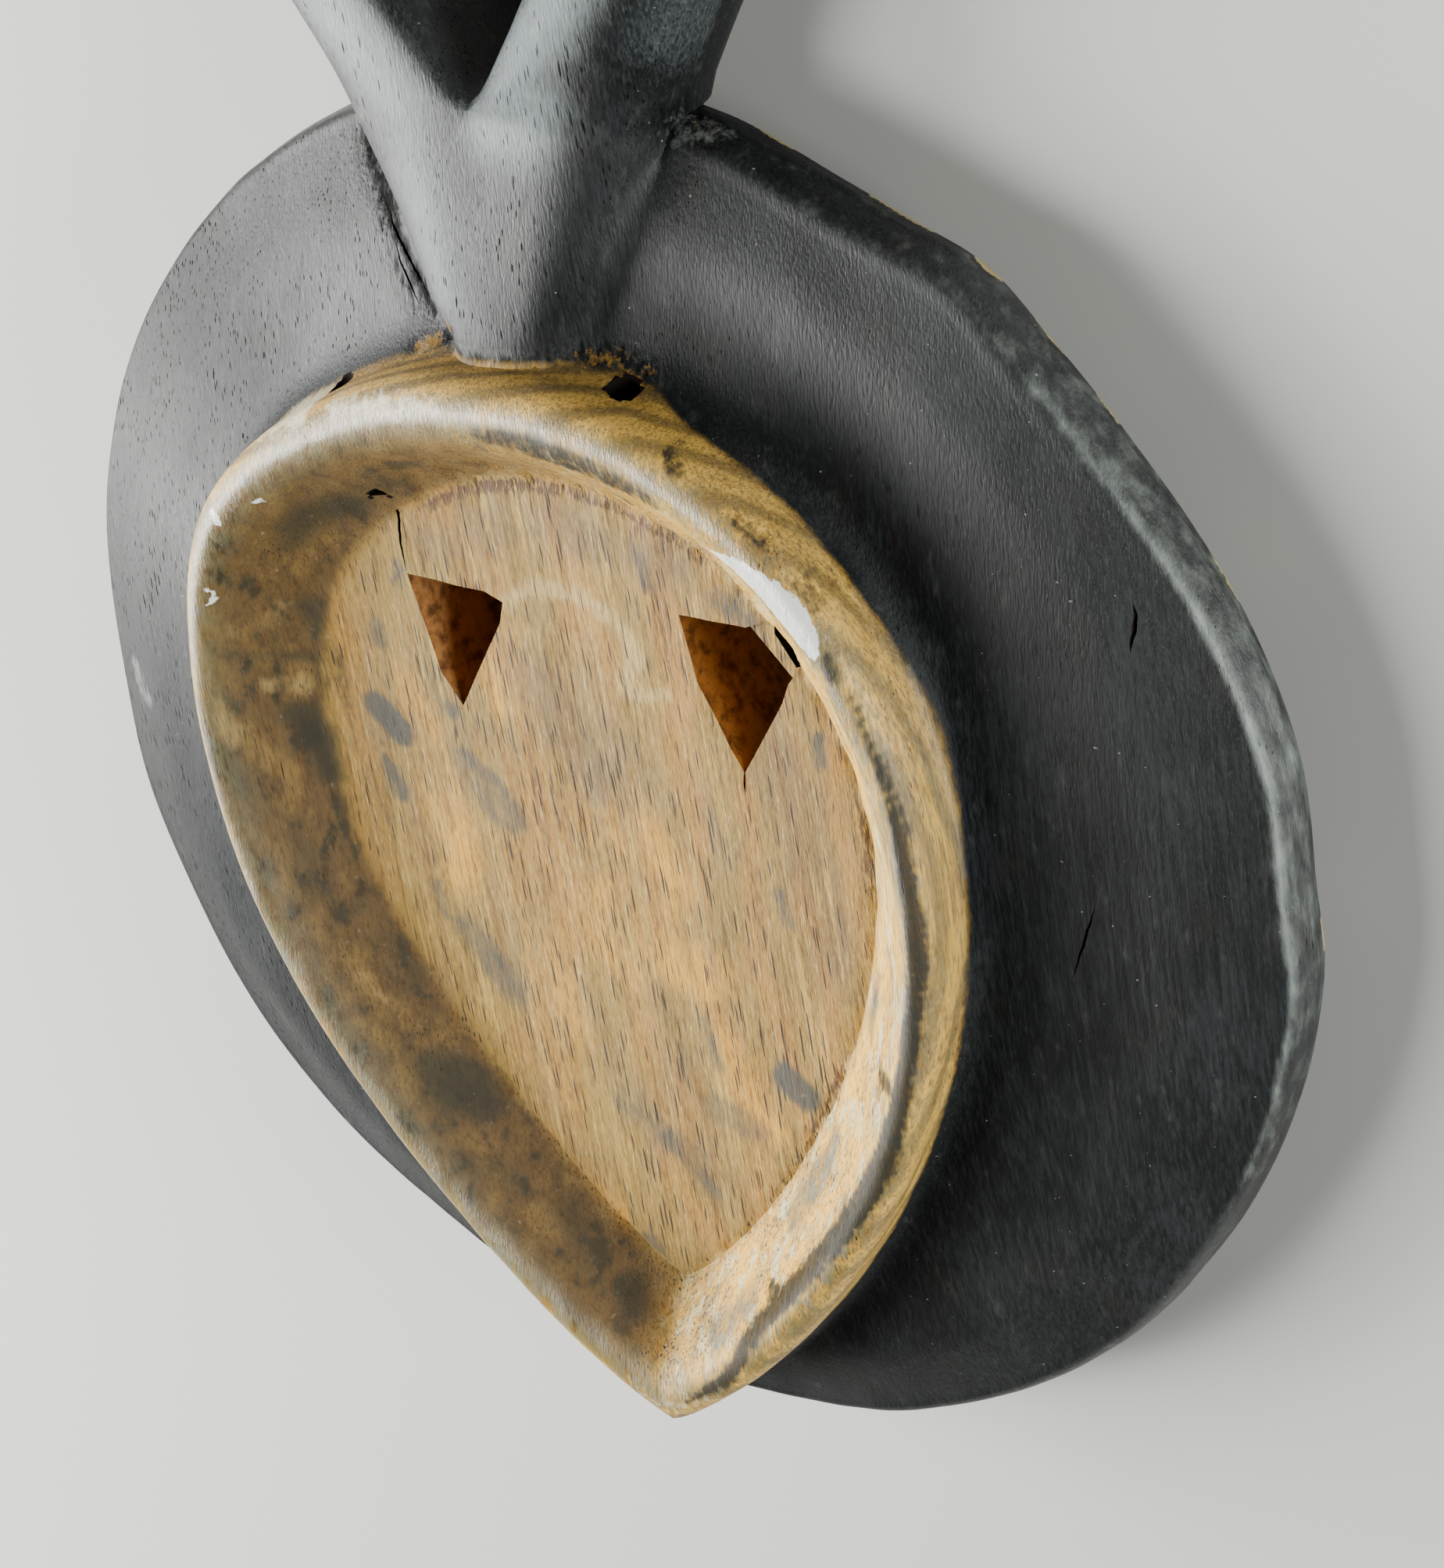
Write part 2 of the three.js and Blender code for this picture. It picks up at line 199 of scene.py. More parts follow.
# %% A smooth curve through stations
def along(places, values, at):
    """Values at the places `at`, on a smooth curve through the given values at the given places."""
    places, values = np.asarray(places, float), np.asarray(values, float)
    order = np.arange(len(places))
    before, after = np.maximum(order - 1, 0), np.minimum(order + 1, len(places) - 1)
    column = (-1,) + (1,) * (values.ndim - 1)
    slopes = (values[after] - values[before]) / (places[after] - places[before]).reshape(column)
    at = np.clip(np.asarray(at, float), places[0], places[-1])
    start = np.clip(np.searchsorted(places, at) - 1, 0, len(places) - 2)
    span = (places[start + 1] - places[start]).reshape(at.shape + column[1:])
    t = (at - places[start]).reshape(at.shape + column[1:]) / span
    blend = t * t * (3 - 2 * t)
    bend = slopes[start] * t * (1 - t) ** 2 - slopes[start + 1] * t * t * (1 - t)
    return values[start] * (1 - blend) + values[start + 1] * blend + span * bend


def smooth_step(value, start, end):
    """0 below the start, 1 above the end, and a soft rise between them."""
    t = np.clip((value - start) / (end - start), 0, 1)
    return t * t * (3 - 2 * t)


print("halfway between 0, 1 and 4:", along([0, 1, 2], [0, 1, 4], [1.5]))

# %% [markdown]
# A hand-cut disc is never a true circle. The edge stations say how far it stands outside or inside the
# circle, going round from the chin, in degrees. The back of the disc is a shallow dome that rolls off a
# little faster near its edge, and the floor of the hollow is flat.

# %% The disc's outline and dome
FRONT_PLANE = 12
FIELD_Z = 15
BACK_CROWN = 24
EDGE_ROLL = dict(height=1.3, at=118, reach=9)
FLOOR_Z = ARRIS_Z + 14
SPOKES = 480
TURNS = 2 * np.pi * (np.arange(SPOKES) / SPOKES - 0.25)
EDGE_STATIONS = [
    (-90, 1.6), (-74, 2.0), (-60, 0.8), (-48, 0.2), (-35, -0.6), (-16, 0.3), (-6, 0.8), (0, -0.1),
    (10, 1.2), (22, 0.4), (34, -1.2), (45, -0.5), (52, 1.2), (58, -0.5), (66, -0.9), (76, 0.8),
    (105, 2.6), (122, 1.4), (140, 0.8), (158, -0.4), (168, -2.0), (176, -3.0), (188, -0.9),
    (196, -1.2), (208, 1.1), (222, 1.8), (239, -1.4), (255, 0.6), (270, 1.6),
]


def per_spoke(stations):
    """One value for each spoke, on a smooth curve through a table of turns in degrees and values."""
    return along(*zip(*stations), np.degrees(TURNS))


def at_turn(row, turn):
    """Reads a row of one value per spoke at any direction from the middle."""
    return np.interp(turn, TURNS, row, period=2 * np.pi)


def back_height(radius):
    """Height of the domed back at a distance from the middle."""
    roll = EDGE_ROLL["height"] * np.exp(-(((radius - EDGE_ROLL["at"]) / EDGE_ROLL["reach"]) ** 2))
    return ARRIS_Z + BACK_CROWN * (1 - (radius / DISC_RADIUS) ** 2) + roll


def ring(radius, height):
    """One ring of points, from a radius and a height for each spoke."""
    return np.stack([radius * np.cos(TURNS), radius * np.sin(TURNS), height + 0 * radius], axis=1)


edge_radius = DISC_RADIUS + per_spoke(EDGE_STATIONS)
print(f"edge from {edge_radius.min():.1f} to {edge_radius.max():.1f} mm out")

# %% [markdown]
# The rim is a teardrop in plan: a full round top and sides that draw in to a point at the chin. Its
# section climbs steeply from a foot on the dome, rolls over a lip as wide as a thumb, and slopes down to
# the floor. The stations are the same as those of the solid model. The left shoulder was cut fuller than
# the right, by up to 4 mm, and less so down at the floor.

# %% The teardrop rim
WIDEST_Y = 6
SIDE_ROUNDNESS = 0.85
TIP_DROP = 0.2
OUTLINE_STEPS = 400
RIM_SECTION = [
    dict(half_width=60.8, top=69.9, tip=-99.5, above=0, fullness=2.0, taper=1.75),
    dict(half_width=62.6, top=71.8, tip=-101.6, above=1.2, fullness=2.0, taper=1.75),
    dict(half_width=66.2, top=75.0, tip=-105.6, above=5.0, fullness=2.1, taper=1.8),
    dict(half_width=71.6, top=79.0, tip=-110.9, above=11.0),
    dict(half_width=75.2, top=83.0, tip=-115.6, above=15.2),
    dict(half_width=78.0, top=88.0, tip=-121.6, above=16.5),
    dict(half_width=80.6, top=91.8, tip=-125.8, above=14.6),
    dict(half_width=81.6, top=93.4, tip=-127.2, above=10.6),
    dict(half_width=81.8, top=93.8, tip=-127.6, on_back=6.0, taper=1.86),
    dict(half_width=82.6, top=95.0, tip=-128.4, on_back=2.4, taper=1.8),
    dict(half_width=84.6, top=98.0, tip=-129.6, on_back=0.3, taper=1.72),
]
FLOOR_EDGE, CREST, WALL, FOOT = 0, 5, 7, 10
SHOULDER = [
    (-90, 0), (100, 0), (115, 0.3), (125, 2), (140, 4.2), (155, 3), (170, 2.4), (180, 2.1), (200, 1.5),
    (220, 0.5), (235, 0), (270, 0),
]
SHOULDER_HALF_AT, SHOULDER_WHOLE_AT = 60, 76


def teardrop_radius(half_width, top, tip, fullness=2.2, taper=1.9, **_):
    """Distance from the middle to a teardrop outline, fuller at its left shoulder, for each spoke."""
    turn = np.linspace(0, np.pi, OUTLINE_STEPS)
    power = 2 / fullness
    over_x = half_width * np.sign(np.cos(turn)) * np.abs(np.cos(turn)) ** power
    over_y = WIDEST_Y + (top - WIDEST_Y) * np.abs(np.sin(turn)) ** power
    down = np.linspace(0, 1, OUTLINE_STEPS)[1:]
    side_x = half_width * (1 - down ** taper) ** SIDE_ROUNDNESS
    side_y = WIDEST_Y - (WIDEST_Y - tip) * down
    x = np.concatenate([over_x, -side_x, side_x[-2::-1]])
    y = np.concatenate([over_y, side_y, side_y[-2::-1]])
    shoulder = per_spoke(SHOULDER) * np.interp(half_width, [SHOULDER_HALF_AT, SHOULDER_WHOLE_AT], [0.5, 1])
    return np.interp(TURNS, np.unwrap(np.arctan2(y, x)), np.hypot(x, y), period=2 * np.pi) + shoulder


def rim_ring(station):
    """One measured ring of the rim, with the lip lower towards the chin."""
    radius = teardrop_radius(**station)
    if "on_back" in station:
        return ring(radius, back_height(radius) + station["on_back"])
    y = radius * np.sin(TURNS)
    towards_tip = np.clip((WIDEST_Y - y) / (WIDEST_Y - station["tip"]), 0, 1)
    return ring(radius, FLOOR_Z + station["above"] * (1 - TIP_DROP * towards_tip ** 2))


measured = np.array([rim_ring(station) for station in RIM_SECTION])
steps = np.linalg.norm(np.diff(measured, axis=0), axis=2).mean(axis=1)
section_places = np.concatenate([[0], np.cumsum(steps)])
rim_radius = [np.hypot(*measured[index, :, :2].T) for index in range(len(measured))]
crest_top = measured[CREST, :, 2].max()
print(f"the rim's section is {section_places[-1]:.0f} mm round, and its crest {crest_top:.1f} mm up")

# %% [markdown]
# The skin is now laid out ring by ring. Rings stand closer where the form turns, on the lip and at the
# edge, and further apart on the plain front.

# %% The body of the mask, as rings
FLOOR_RINGS, RIM_RINGS, DOME_RINGS, EDGE_RINGS, FRONT_RINGS = 30, 46, 34, 7, 9
BACK_ROUNDING_RINGS, FRONT_ROUNDING_RINGS = 6, 5
BORDER_SHARES = (0.75, 0.5, 0.25, 0)
FLOOR_REACH = 0.985
EDGE_ROUNDING_TURNS = [
    (-90, 2.6), (-45, 3.6), (0, 4.6), (60, 4.8), (85, 3.4), (120, 2.2), (200, 2.2), (270, 2.6),
]
EDGE_ROUNDING = per_spoke(EDGE_ROUNDING_TURNS)
EDGE_BULGE = 0.5
FIELD_RADIUS = 120
BORDER_SLOPE = 1


def body_rings():
    """The whole skin of the disc and its rim, from the middle of the floor to the middle of the front."""
    floor_shares = np.linspace(0, FLOOR_REACH, FLOOR_RINGS)[1:]
    rings = [ring(rim_radius[FLOOR_EDGE] * share, FLOOR_Z) for share in floor_shares]
    rings += list(along(section_places, measured, np.linspace(0, section_places[-1], RIM_RINGS)))
    shoulder = edge_radius - EDGE_ROUNDING
    for share in np.linspace(0, 1, DOME_RINGS)[1:]:
        radius = rim_radius[FOOT] + (shoulder - rim_radius[FOOT]) * share
        rings.append(ring(radius, back_height(radius)))
    side_top = ARRIS_Z - EDGE_ROUNDING
    drop = back_height(shoulder) - side_top
    for share in np.linspace(0, 1, BACK_ROUNDING_RINGS)[1:]:
        swing = share * math.pi / 2
        rings.append(ring(shoulder + EDGE_ROUNDING * math.sin(swing), side_top + drop * math.cos(swing)))
    for share in np.linspace(0, 1, EDGE_RINGS)[1:]:
        height = side_top + (FRONT_PLANE - ARRIS_Z + 2 * EDGE_ROUNDING) * share
        rings.append(ring(edge_radius + EDGE_BULGE * math.sin(math.pi * share), height))
    for share in np.linspace(0, 1, FRONT_ROUNDING_RINGS)[1:]:
        swing = share * math.pi / 2
        radius = shoulder + EDGE_ROUNDING * math.cos(swing)
        rings.append(ring(radius, FRONT_PLANE + EDGE_ROUNDING * (1 - math.sin(swing))))
    border = FIELD_RADIUS + BORDER_SLOPE
    rings += [ring(border + (shoulder - border) * share, FRONT_PLANE) for share in BORDER_SHARES]
    field = FIELD_RADIUS + 0 * shoulder
    rings += [ring(field * share, FIELD_Z) for share in np.linspace(1, 0, FRONT_RINGS)[:-1]]
    return np.array(rings)


body = body_rings()
print(f"{len(body)} rings of {SPOKES} points")

# %% [markdown]
# Where the wall of the hollow meets its floor, the gouge left a soft hollow on the left and a sharp
# corner on the right and at the chin. Averaging each ring with its neighbours, only where the corner is
# soft, gives both from one section. The foot of the rim is eased all round in the same way.

# %% Soft and sharp corners
SOFT_CORNER_TURNS = [
    (-90, 0), (-60, 0), (20, 0), (70, 0.1), (105, 0.4), (140, 1), (185, 1), (215, 0.2), (240, 0),
    (270, 0),
]
SOFT_CORNER = per_spoke(SOFT_CORNER_TURNS)
CORNER_RING = FLOOR_RINGS - 1
FOOT_RING = CORNER_RING + RIM_RINGS - 1


def ease(rings, centre, reach, strength, rounds):
    """Rounds a corner in the section, by the strength given for each spoke."""
    inside = slice(centre - reach, centre + reach + 1)
    fall = np.cos(np.linspace(-1, 1, 2 * reach + 1) * math.pi / 2)[:, None, None]
    for _ in range(rounds):
        before = rings[centre - reach - 1:centre + reach]
        after = rings[centre - reach + 1:centre + reach + 2]
        rings[inside] += ((before + after) / 2 - rings[inside]) * fall * strength[None, :, None]


ease(body, CORNER_RING, reach=6, strength=SOFT_CORNER * 0.9, rounds=14)
ease(body, FOOT_RING, reach=5, strength=np.full(SPOKES, 0.8), rounds=4)
print(f"corner eased most at {np.degrees(TURNS[SOFT_CORNER.argmax()]):.0f} degrees")

# %% [markdown]
# A mesh from rings is the oldest way to model a turned or carved form: neighbouring points of
# neighbouring rings make the faces, and a fan closes either end. The same function makes the horns and
# every tool that cuts. Its faces must point out, or a boolean cut would leave the wrong side, so it works
# out its own volume and turns them round if that is negative.

# %% A closed skin over rings
def loft(name, rings):
    """A closed mesh over rings of points, in millimetres, with its faces pointing out."""
    rings = np.asarray(rings, float)
    rows, count = rings.shape[:2]
    first, last = rows * count, rows * count + 1
    points = np.concatenate([rings.reshape(-1, 3), [rings[0].mean(axis=0), rings[-1].mean(axis=0)]])
    here = np.arange(count)
    beside = (here + 1) % count
    faces = []
    for row in range(rows - 1):
        base, up = row * count, (row + 1) * count
        faces += np.stack([here + base, beside + base, beside + up, here + up], axis=1).tolist()
    faces += [(int(b), int(a), first) for a, b in zip(here, beside)]
    top_here, top_beside = here + (rows - 1) * count, beside + (rows - 1) * count
    faces += [(int(a), int(b), last) for a, b in zip(top_here, top_beside)]
    mesh = bpy.data.meshes.new(name)
    mesh.from_pydata(points.tolist(), [], faces)
    mesh.update()
    corners = (points - points.mean(axis=0))[np.array([face[:3] for face in faces])]
    volume = np.einsum("ij,ij->i", corners[:, 0], np.cross(corners[:, 1], corners[:, 2])).sum()
    if volume < 0:
        mesh.flip_normals()
    made = bpy.data.objects.new(name, mesh)
    bpy.context.collection.objects.link(made)
    return made


def combine(piece, tool, operation):
    """Joins the tool to the piece, or cuts it out of the piece, and removes the tool."""
    modifier = piece.modifiers.new("carve", "BOOLEAN")
    modifier.operation = operation
    modifier.solver = "MANIFOLD"
    modifier.object = tool
    with bpy.context.temp_override(object=piece, active_object=piece):
        bpy.ops.object.modifier_apply(modifier=modifier.name)
    bpy.data.objects.remove(tool)


mask = loft("carved_mask", body)
print(f"body: {len(mask.data.polygons)} faces")

# %% [markdown]
# The trunk stands on the dome behind the rim and forks into two horns. Each half is a loft of its own,
# cut in slices across the mask, and the other half is its mirror image. The halves overlap a little
# along the middle below the notch, and a boolean join makes them one.

# %% Trunk and horns
HORN_SLICES, HORN_SIDES = 110, 56
SLICE_CROWDING = 1.15
OUTER_X = [
    (88, 14.4), (95, 16.9), (105, 21.5), (119, 27.8), (130, 31.8), (139, 35.6), (147, 39.2),
    (155, 43.4), (165, 49.2), (175, 55.4), (200, 67), (225, 73.8), (250, 75.1), (275, 70), (292, 61.5),
    (299, 56.4), (303, 51),
]
INNER_X = [
    (88, -3), (125, -3), (134, -4.5), (137.6, -3), (139, 0), (148, 7), (155, 12), (165, 19.4),
    (175, 26.6), (200, 41.4), (225, 51), (250, 55.6), (275, 54), (292, 49.6), (299, 47.4), (303, 47),
]
RIDGE_X = [
    (88, 0), (105, 3), (125, 8), (139, 14), (155, 25), (175, 41), (200, 54), (250, 65.4), (292, 55.5),
    (303, 49),
]
BACK_Z = [
    (88, 45.1), (105, 43.8), (119, 41.1), (139, 38.4), (155, 37.7), (175, 37), (200, 35.2), (225, 33),
    (250, 30.4), (275, 27.6), (292, 25.4), (299, 24), (303, 21.6),
]
FACE_Z = [
    (88, 19), (105, 16), (119, 9), (130, 3.4), (139, 0.4), (155, -1.2), (175, -1), (200, 1.6),
    (225, 5.2), (250, 9), (275, 12.8), (292, 15.6), (299, 17.4), (303, 19.6),
]
OUTER_FULLNESS = [(88, 2.1), (125, 2.3), (147, 2.5), (170, 2.6)]
INNER_FULLNESS = [(88, 9), (140, 6), (175, 2.8)]
LEFT_SLIMMER = [(88, 2.5), (105, 3.5), (119, 2.5), (132, 0), (303, 0)]
RIGHT_FULLER = [(88, 0), (136, 0), (150, 1), (165, 2.6), (180, 3), (230, 0), (303, 0)]


def horn_rings(side):
    """Slices through one half of the trunk and its horn; side is 1 for the right and -1 for the left."""
    share = np.linspace(0, 1, HORN_SLICES)
    start, end = OUTER_X[0][0], HORN_TIP_Y
    y = start + (end - start) * (1 - (1 - share) ** SLICE_CROWDING)
    outer, inner, ridge, back, face, outer_full, inner_full = (
        along(*zip(*stations), y)[:, None]
        for stations in (OUTER_X, INNER_X, RIDGE_X, BACK_Z, FACE_Z, OUTER_FULLNESS, INNER_FULLNESS)
    )
    if side < 0:
        outer = outer - along(*zip(*LEFT_SLIMMER), y)[:, None]
    else:
        outer = outer + along(*zip(*RIGHT_FULLER), y)[:, None]
    angle = 2 * np.pi * (np.arange(HORN_SIDES) + 0.5)[None, :] / HORN_SIDES
    across, up = np.cos(angle), np.sin(angle)
    power = 2 / np.where(across > 0, outer_full, inner_full)
    across = np.sign(across) * np.abs(across) ** power
    up = np.sign(up) * np.abs(up) ** power
    x = ridge + np.where(across > 0, outer - ridge, ridge - inner) * across
    z = (back + face) / 2 + (back - face) / 2 * up
    return np.stack([side * x, y[:, None] + 0 * x, z], axis=2)


for side, name in ((1, "right horn"), (-1, "left horn")):
    combine(mask, loft(name, horn_rings(side)), "UNION")
print(f"with horns: {len(mask.data.polygons)} faces")

# %% [markdown]
# The front lies on the floor and doesn't show. It is finished plainly, as on other masks of this kind:
# a slim nose, raised surrounds for the eyes, and a box mouth with two rows of teeth. Flat parts are
# plates with a bevel, which are short lofts too, so each starts as an outline in plan.

# %% Outlines and plates for the front
EYE_BORDER_SCALE, EYE_BORDER_HEIGHT, EYE_BORDER_BEVEL = 2.1, 2.6, 1.2
NOSE_TOP, NOSE_BOTTOM = 38, -30
NOSE_SLICES, NOSE_SIDES = 25, 24
NOSE_ROUNDS_FROM, NOSE_END = 0.85, 0.153
CORNER_STEPS, BORDER_STEPS = 6, 12


def plate(name, outline, face_z, back_z, bevel=0.8):
    """A flat plate with a bevelled face, from an outline in plan."""
    outline = np.asarray(outline, float)
    middle = outline.mean(axis=0)
    inset = middle + (outline - middle) * (1 - bevel / np.linalg.norm(outline - middle, axis=1).mean())
    levels = [(outline, back_z), (outline, face_z + bevel), (inset, face_z)]
    return loft(name, [np.column_stack([shape, np.full(len(shape), z)]) for shape, z in levels])


def rounded_rectangle(width, height, corner, x, y):
    """An outline with rounded corners."""
    swing = np.linspace(0, math.pi / 2, CORNER_STEPS)
    points = []
    for quarter, (sign_x, sign_y) in enumerate([(1, 1), (-1, 1), (-1, -1), (1, -1)]):
        turn = swing + quarter * math.pi / 2
        over = x + sign_x * (width / 2 - corner) + corner * np.cos(turn)
        up = y + sign_y * (height / 2 - corner) + corner * np.sin(turn)
        points += list(zip(over, up))
    return points


def eye_border(eye):
    """A rounded three-sided outline around an eye hole."""
    corners = np.array(list(eye.values()))
    spread = corners.mean(axis=0) + (corners - corners.mean(axis=0)) * EYE_BORDER_SCALE
    halfway = (spread + np.roll(spread, -1, axis=0)) / 2
    t = np.linspace(0, 1, BORDER_STEPS, endpoint=False)[:, None]
    return np.concatenate([
        halfway[i - 1] * (1 - t) ** 2 + spread[i] * 2 * t * (1 - t) + halfway[i] * t * t for i in range(3)
    ])


def nose_rings():
    """A slim ridge that widens and rises towards its lower end."""
    rings = []
    turn = np.linspace(0, 2 * math.pi, NOSE_SIDES, endpoint=False)
    for down in np.linspace(0, 1, NOSE_SLICES):
        rounding = math.sqrt(1 - (max(0, down - NOSE_ROUNDS_FROM) / NOSE_END) ** 2)
        half_width = (8 + 12 * down) / 2 * rounding
        height = (2 + 7 * down) * rounding
        y = np.full(NOSE_SIDES, NOSE_TOP + (NOSE_BOTTOM - NOSE_TOP) * down)
        rings.append(np.column_stack([half_width * np.cos(turn), y, FIELD_Z + height * np.sin(turn)]))
    return rings


print(f"the nose is {NOSE_TOP - NOSE_BOTTOM} mm long")

# %% [markdown]
# Each part of the front goes a little into the block, so that a boolean join has no faces that only
# touch. The mouth is a frame around a recess, and its teeth stand in the recess in two rows.

# %% The plain front
EYES = {
    "left": dict(outer=(-34.4, 48.2), inner=(-13.0, 44.8), low=(-27.1, 21.9)),
    "right": dict(outer=(50.6, 40.5), inner=(27.5, 47.2), low=(35.6, 16.6)),
}
MOUTH_Y, MOUTH_WIDTH, MOUTH_HEIGHT, MOUTH_FRAME, MOUTH_DEPTH = -62, 86, 38, 6, 4
MOUTH_CORNER, RECESS_CORNER, TOOTH_CORNER = 4, 1, 1.5
TEETH_ACROSS, TEETH_ROWS, TOOTH_GAP, TOOTH_SET_BACK = 6, 2, 2, 1.2
BURIED = 4

inner_width, inner_height = MOUTH_WIDTH - 2 * MOUTH_FRAME, MOUTH_HEIGHT - 2 * MOUTH_FRAME
outside = rounded_rectangle(MOUTH_WIDTH, MOUTH_HEIGHT, MOUTH_CORNER, 0, MOUTH_Y)
recess = rounded_rectangle(inner_width, inner_height, RECESS_CORNER, 0, MOUTH_Y)
mouth = plate("mouth", outside, 0, FIELD_Z + BURIED)
combine(mouth, plate("recess", recess, -BURIED, MOUTH_DEPTH), "DIFFERENCE")
pitch_x, pitch_y = inner_width / TEETH_ACROSS, inner_height / TEETH_ROWS
for row in range(TEETH_ROWS):
    for tooth in range(TEETH_ACROSS):
        x = (tooth + 0.5) * pitch_x - inner_width / 2
        y = MOUTH_Y + (row + 0.5) * pitch_y - inner_height / 2
        outline = rounded_rectangle(pitch_x - TOOTH_GAP, pitch_y - TOOTH_GAP, TOOTH_CORNER, x, y)
        combine(mouth, plate("tooth", outline, TOOTH_SET_BACK, MOUTH_DEPTH + BURIED), "UNION")
combine(mask, mouth, "UNION")
combine(mask, loft("nose", nose_rings()), "UNION")
for name, eye in EYES.items():
    face_z, back_z = FIELD_Z - EYE_BORDER_HEIGHT, FIELD_Z + BURIED
    combine(mask, plate(name, eye_border(eye), face_z, back_z, EYE_BORDER_BEVEL), "UNION")
print(f"with the front: {len(mask.data.polygons)} faces")

# %% [markdown]
# The next steps move single points of the joined mesh. Its points and edges are read into arrays, which
# is many times faster than going through them one by one. To relax a point is to draw it towards the
# middle of its neighbours, which is what a smoothing brush does.

# %% Reading, writing and relaxing points
def read_points(mesh):
    """A mesh's points as rows of x, y and z."""
    points = np.empty(len(mesh.vertices) * 3)
    mesh.vertices.foreach_get("co", points)
    return points.reshape(-1, 3)


def write_points(mesh, points):
    """Puts points back in a mesh."""
    mesh.vertices.foreach_set("co", points.ravel())
    mesh.update()


def mesh_edges(mesh):
    """A mesh's edges as pairs of point numbers."""
    edges = np.empty(len(mesh.edges) * 2, int)
    mesh.edges.foreach_get("vertices", edges)
    return edges.reshape(-1, 2)


def relax(points, edges, weight, rounds):
    """Draws each point towards the middle of its neighbours, by its own weight from 0 to 1."""
    count = np.bincount(edges.ravel(), minlength=len(points))[:, None]
    for _ in range(rounds):
        total = np.zeros_like(points)
        np.add.at(total, edges[:, 0], points[edges[:, 1]])
        np.add.at(total, edges[:, 1], points[edges[:, 0]])
        points += weight[:, None] * (total / count - points)


def tree_of(places):
    """A search tree over places, which finds the nearest of them to any point."""
    tree = kdtree.KDTree(len(places))
    for index, place in enumerate(places):
        tree.insert(place, index)
    tree.balance()
    return tree


print(f"{len(mask.data.vertices)} points and {len(mask.data.edges)} edges to work on")

# %% [markdown]
# Joining leaves a hard crease around the trunk's foot. On the real mask only its left side is a sharp,
# cracked corner, and the right side was scraped round. So points near the crease are relaxed, more on the
# right than on the left, and not at all up beside the notch. Along the middle of the trunk, where its two
# halves meet, the points are relaxed as well.

# %% The corner between trunk and dome
CREASE_ANGLE = math.radians(24)
CREASE_REACH = 3.2
LEFT_EASING, RIGHT_EASING = 0.25, 0.95
TRUNK_REACH_X, TRUNK_START_Y, NOTCH_Y = 62, 96, 138
EASED_X, EASED_Y, EASED_Z = 75, 85, 20
EASING_FADES = (114, 130)
TRUNK_ABOVE_DOME, MIDDLE_BAND, MIDDLE_EASING = 3, 6, 0.9
RELAX_ROUNDS = 22


def crease_points(mesh, points):
    """The points on hard edges between the trunk and the dome."""
    normals = {}
    for face in mesh.polygons:
        for key in face.edge_keys:
            normals.setdefault(key, []).append(face.normal)
    found = set()
    for (a, b), pair in normals.items():
        x, y, z = points[a]
        near = abs(x) < TRUNK_REACH_X and TRUNK_START_Y < y < DISC_RADIUS - 2 and z > ARRIS_Z
        if near and len(pair) == 2 and pair[0].angle(pair[1], 0) > CREASE_ANGLE:
            found.update((a, b))
    return sorted(found)


points = read_points(mask.data)
crease = crease_points(mask.data, points)
crease_tree = tree_of(points[crease])
weight = np.zeros(len(points))
eased = (np.abs(points[:, 0]) < EASED_X) & (points[:, 1] > EASED_Y) & (points[:, 2] > EASED_Z)
for index in np.nonzero(eased)[0]:
    x, y, _ = points[index]
    reach, most = (2 * CREASE_REACH, RIGHT_EASING) if x > 0 else (CREASE_REACH, LEFT_EASING)
    fade = 1 - float(smooth_step(y, *EASING_FADES))
    distance = crease_tree.find(points[index])[2]
    weight[index] = most * fade * math.exp(-(distance / reach) ** 2)
above_dome = points[:, 2] - back_height(np.abs(points[:, 1]))
on_trunk = (points[:, 1] > TRUNK_START_Y - 1) & (above_dome > TRUNK_ABOVE_DOME)
below_notch = 1 - smooth_step(points[:, 1], NOTCH_Y - 9, NOTCH_Y - 1)
in_middle = np.exp(-((points[:, 0] / MIDDLE_BAND) ** 2))
weight = np.maximum(weight, on_trunk * MIDDLE_EASING * below_notch * in_middle)
relax(points, mesh_edges(mask.data), weight, RELAX_ROUNDS)
write_points(mask.data, points)
seam = tree_of(points[crease])
print(f"{len(crease)} points on the crease")

# %% [markdown]
# Many marks lie in their own places: gouge cuts, stains, a white smear, chips. Each is drawn as a stroke:
# its strength, and a path in plan with a width at each of its points. Strokes become a field, a value
# from 0 to 1 at every point of the mesh. The first strokes are the rough gouge cuts at the trunk's foot.

# %% Marks as strokes
def stroke_field(points, strokes, soft):
    """1 inside the strokes and 0 outside, with a soft border in millimetres, times each one's strength."""
    field = np.zeros(len(points))
    for strength, path in strokes:
        path = np.array(path, float)
        places = np.arange(len(path))
        dense = path
        if len(path) > 1:
            dense = along(places, path, np.linspace(0, places[-1], 8 * len(path)))
        reach = dense[:, 2].max() / 2 + soft
        low, high = dense[:, :2].min(axis=0) - reach, dense[:, :2].max(axis=0) + reach
        near = np.nonzero(((points[:, :2] > low) & (points[:, :2] < high)).all(axis=1))[0]
        gaps = np.linalg.norm(points[near, None, :2] - dense[None, :, :2], axis=2) - dense[None, :, 2] / 2
        inside = 1 - smooth_step(gaps.min(axis=1), -soft, soft)
        field[near] = np.maximum(field[near], strength * inside)
    return field


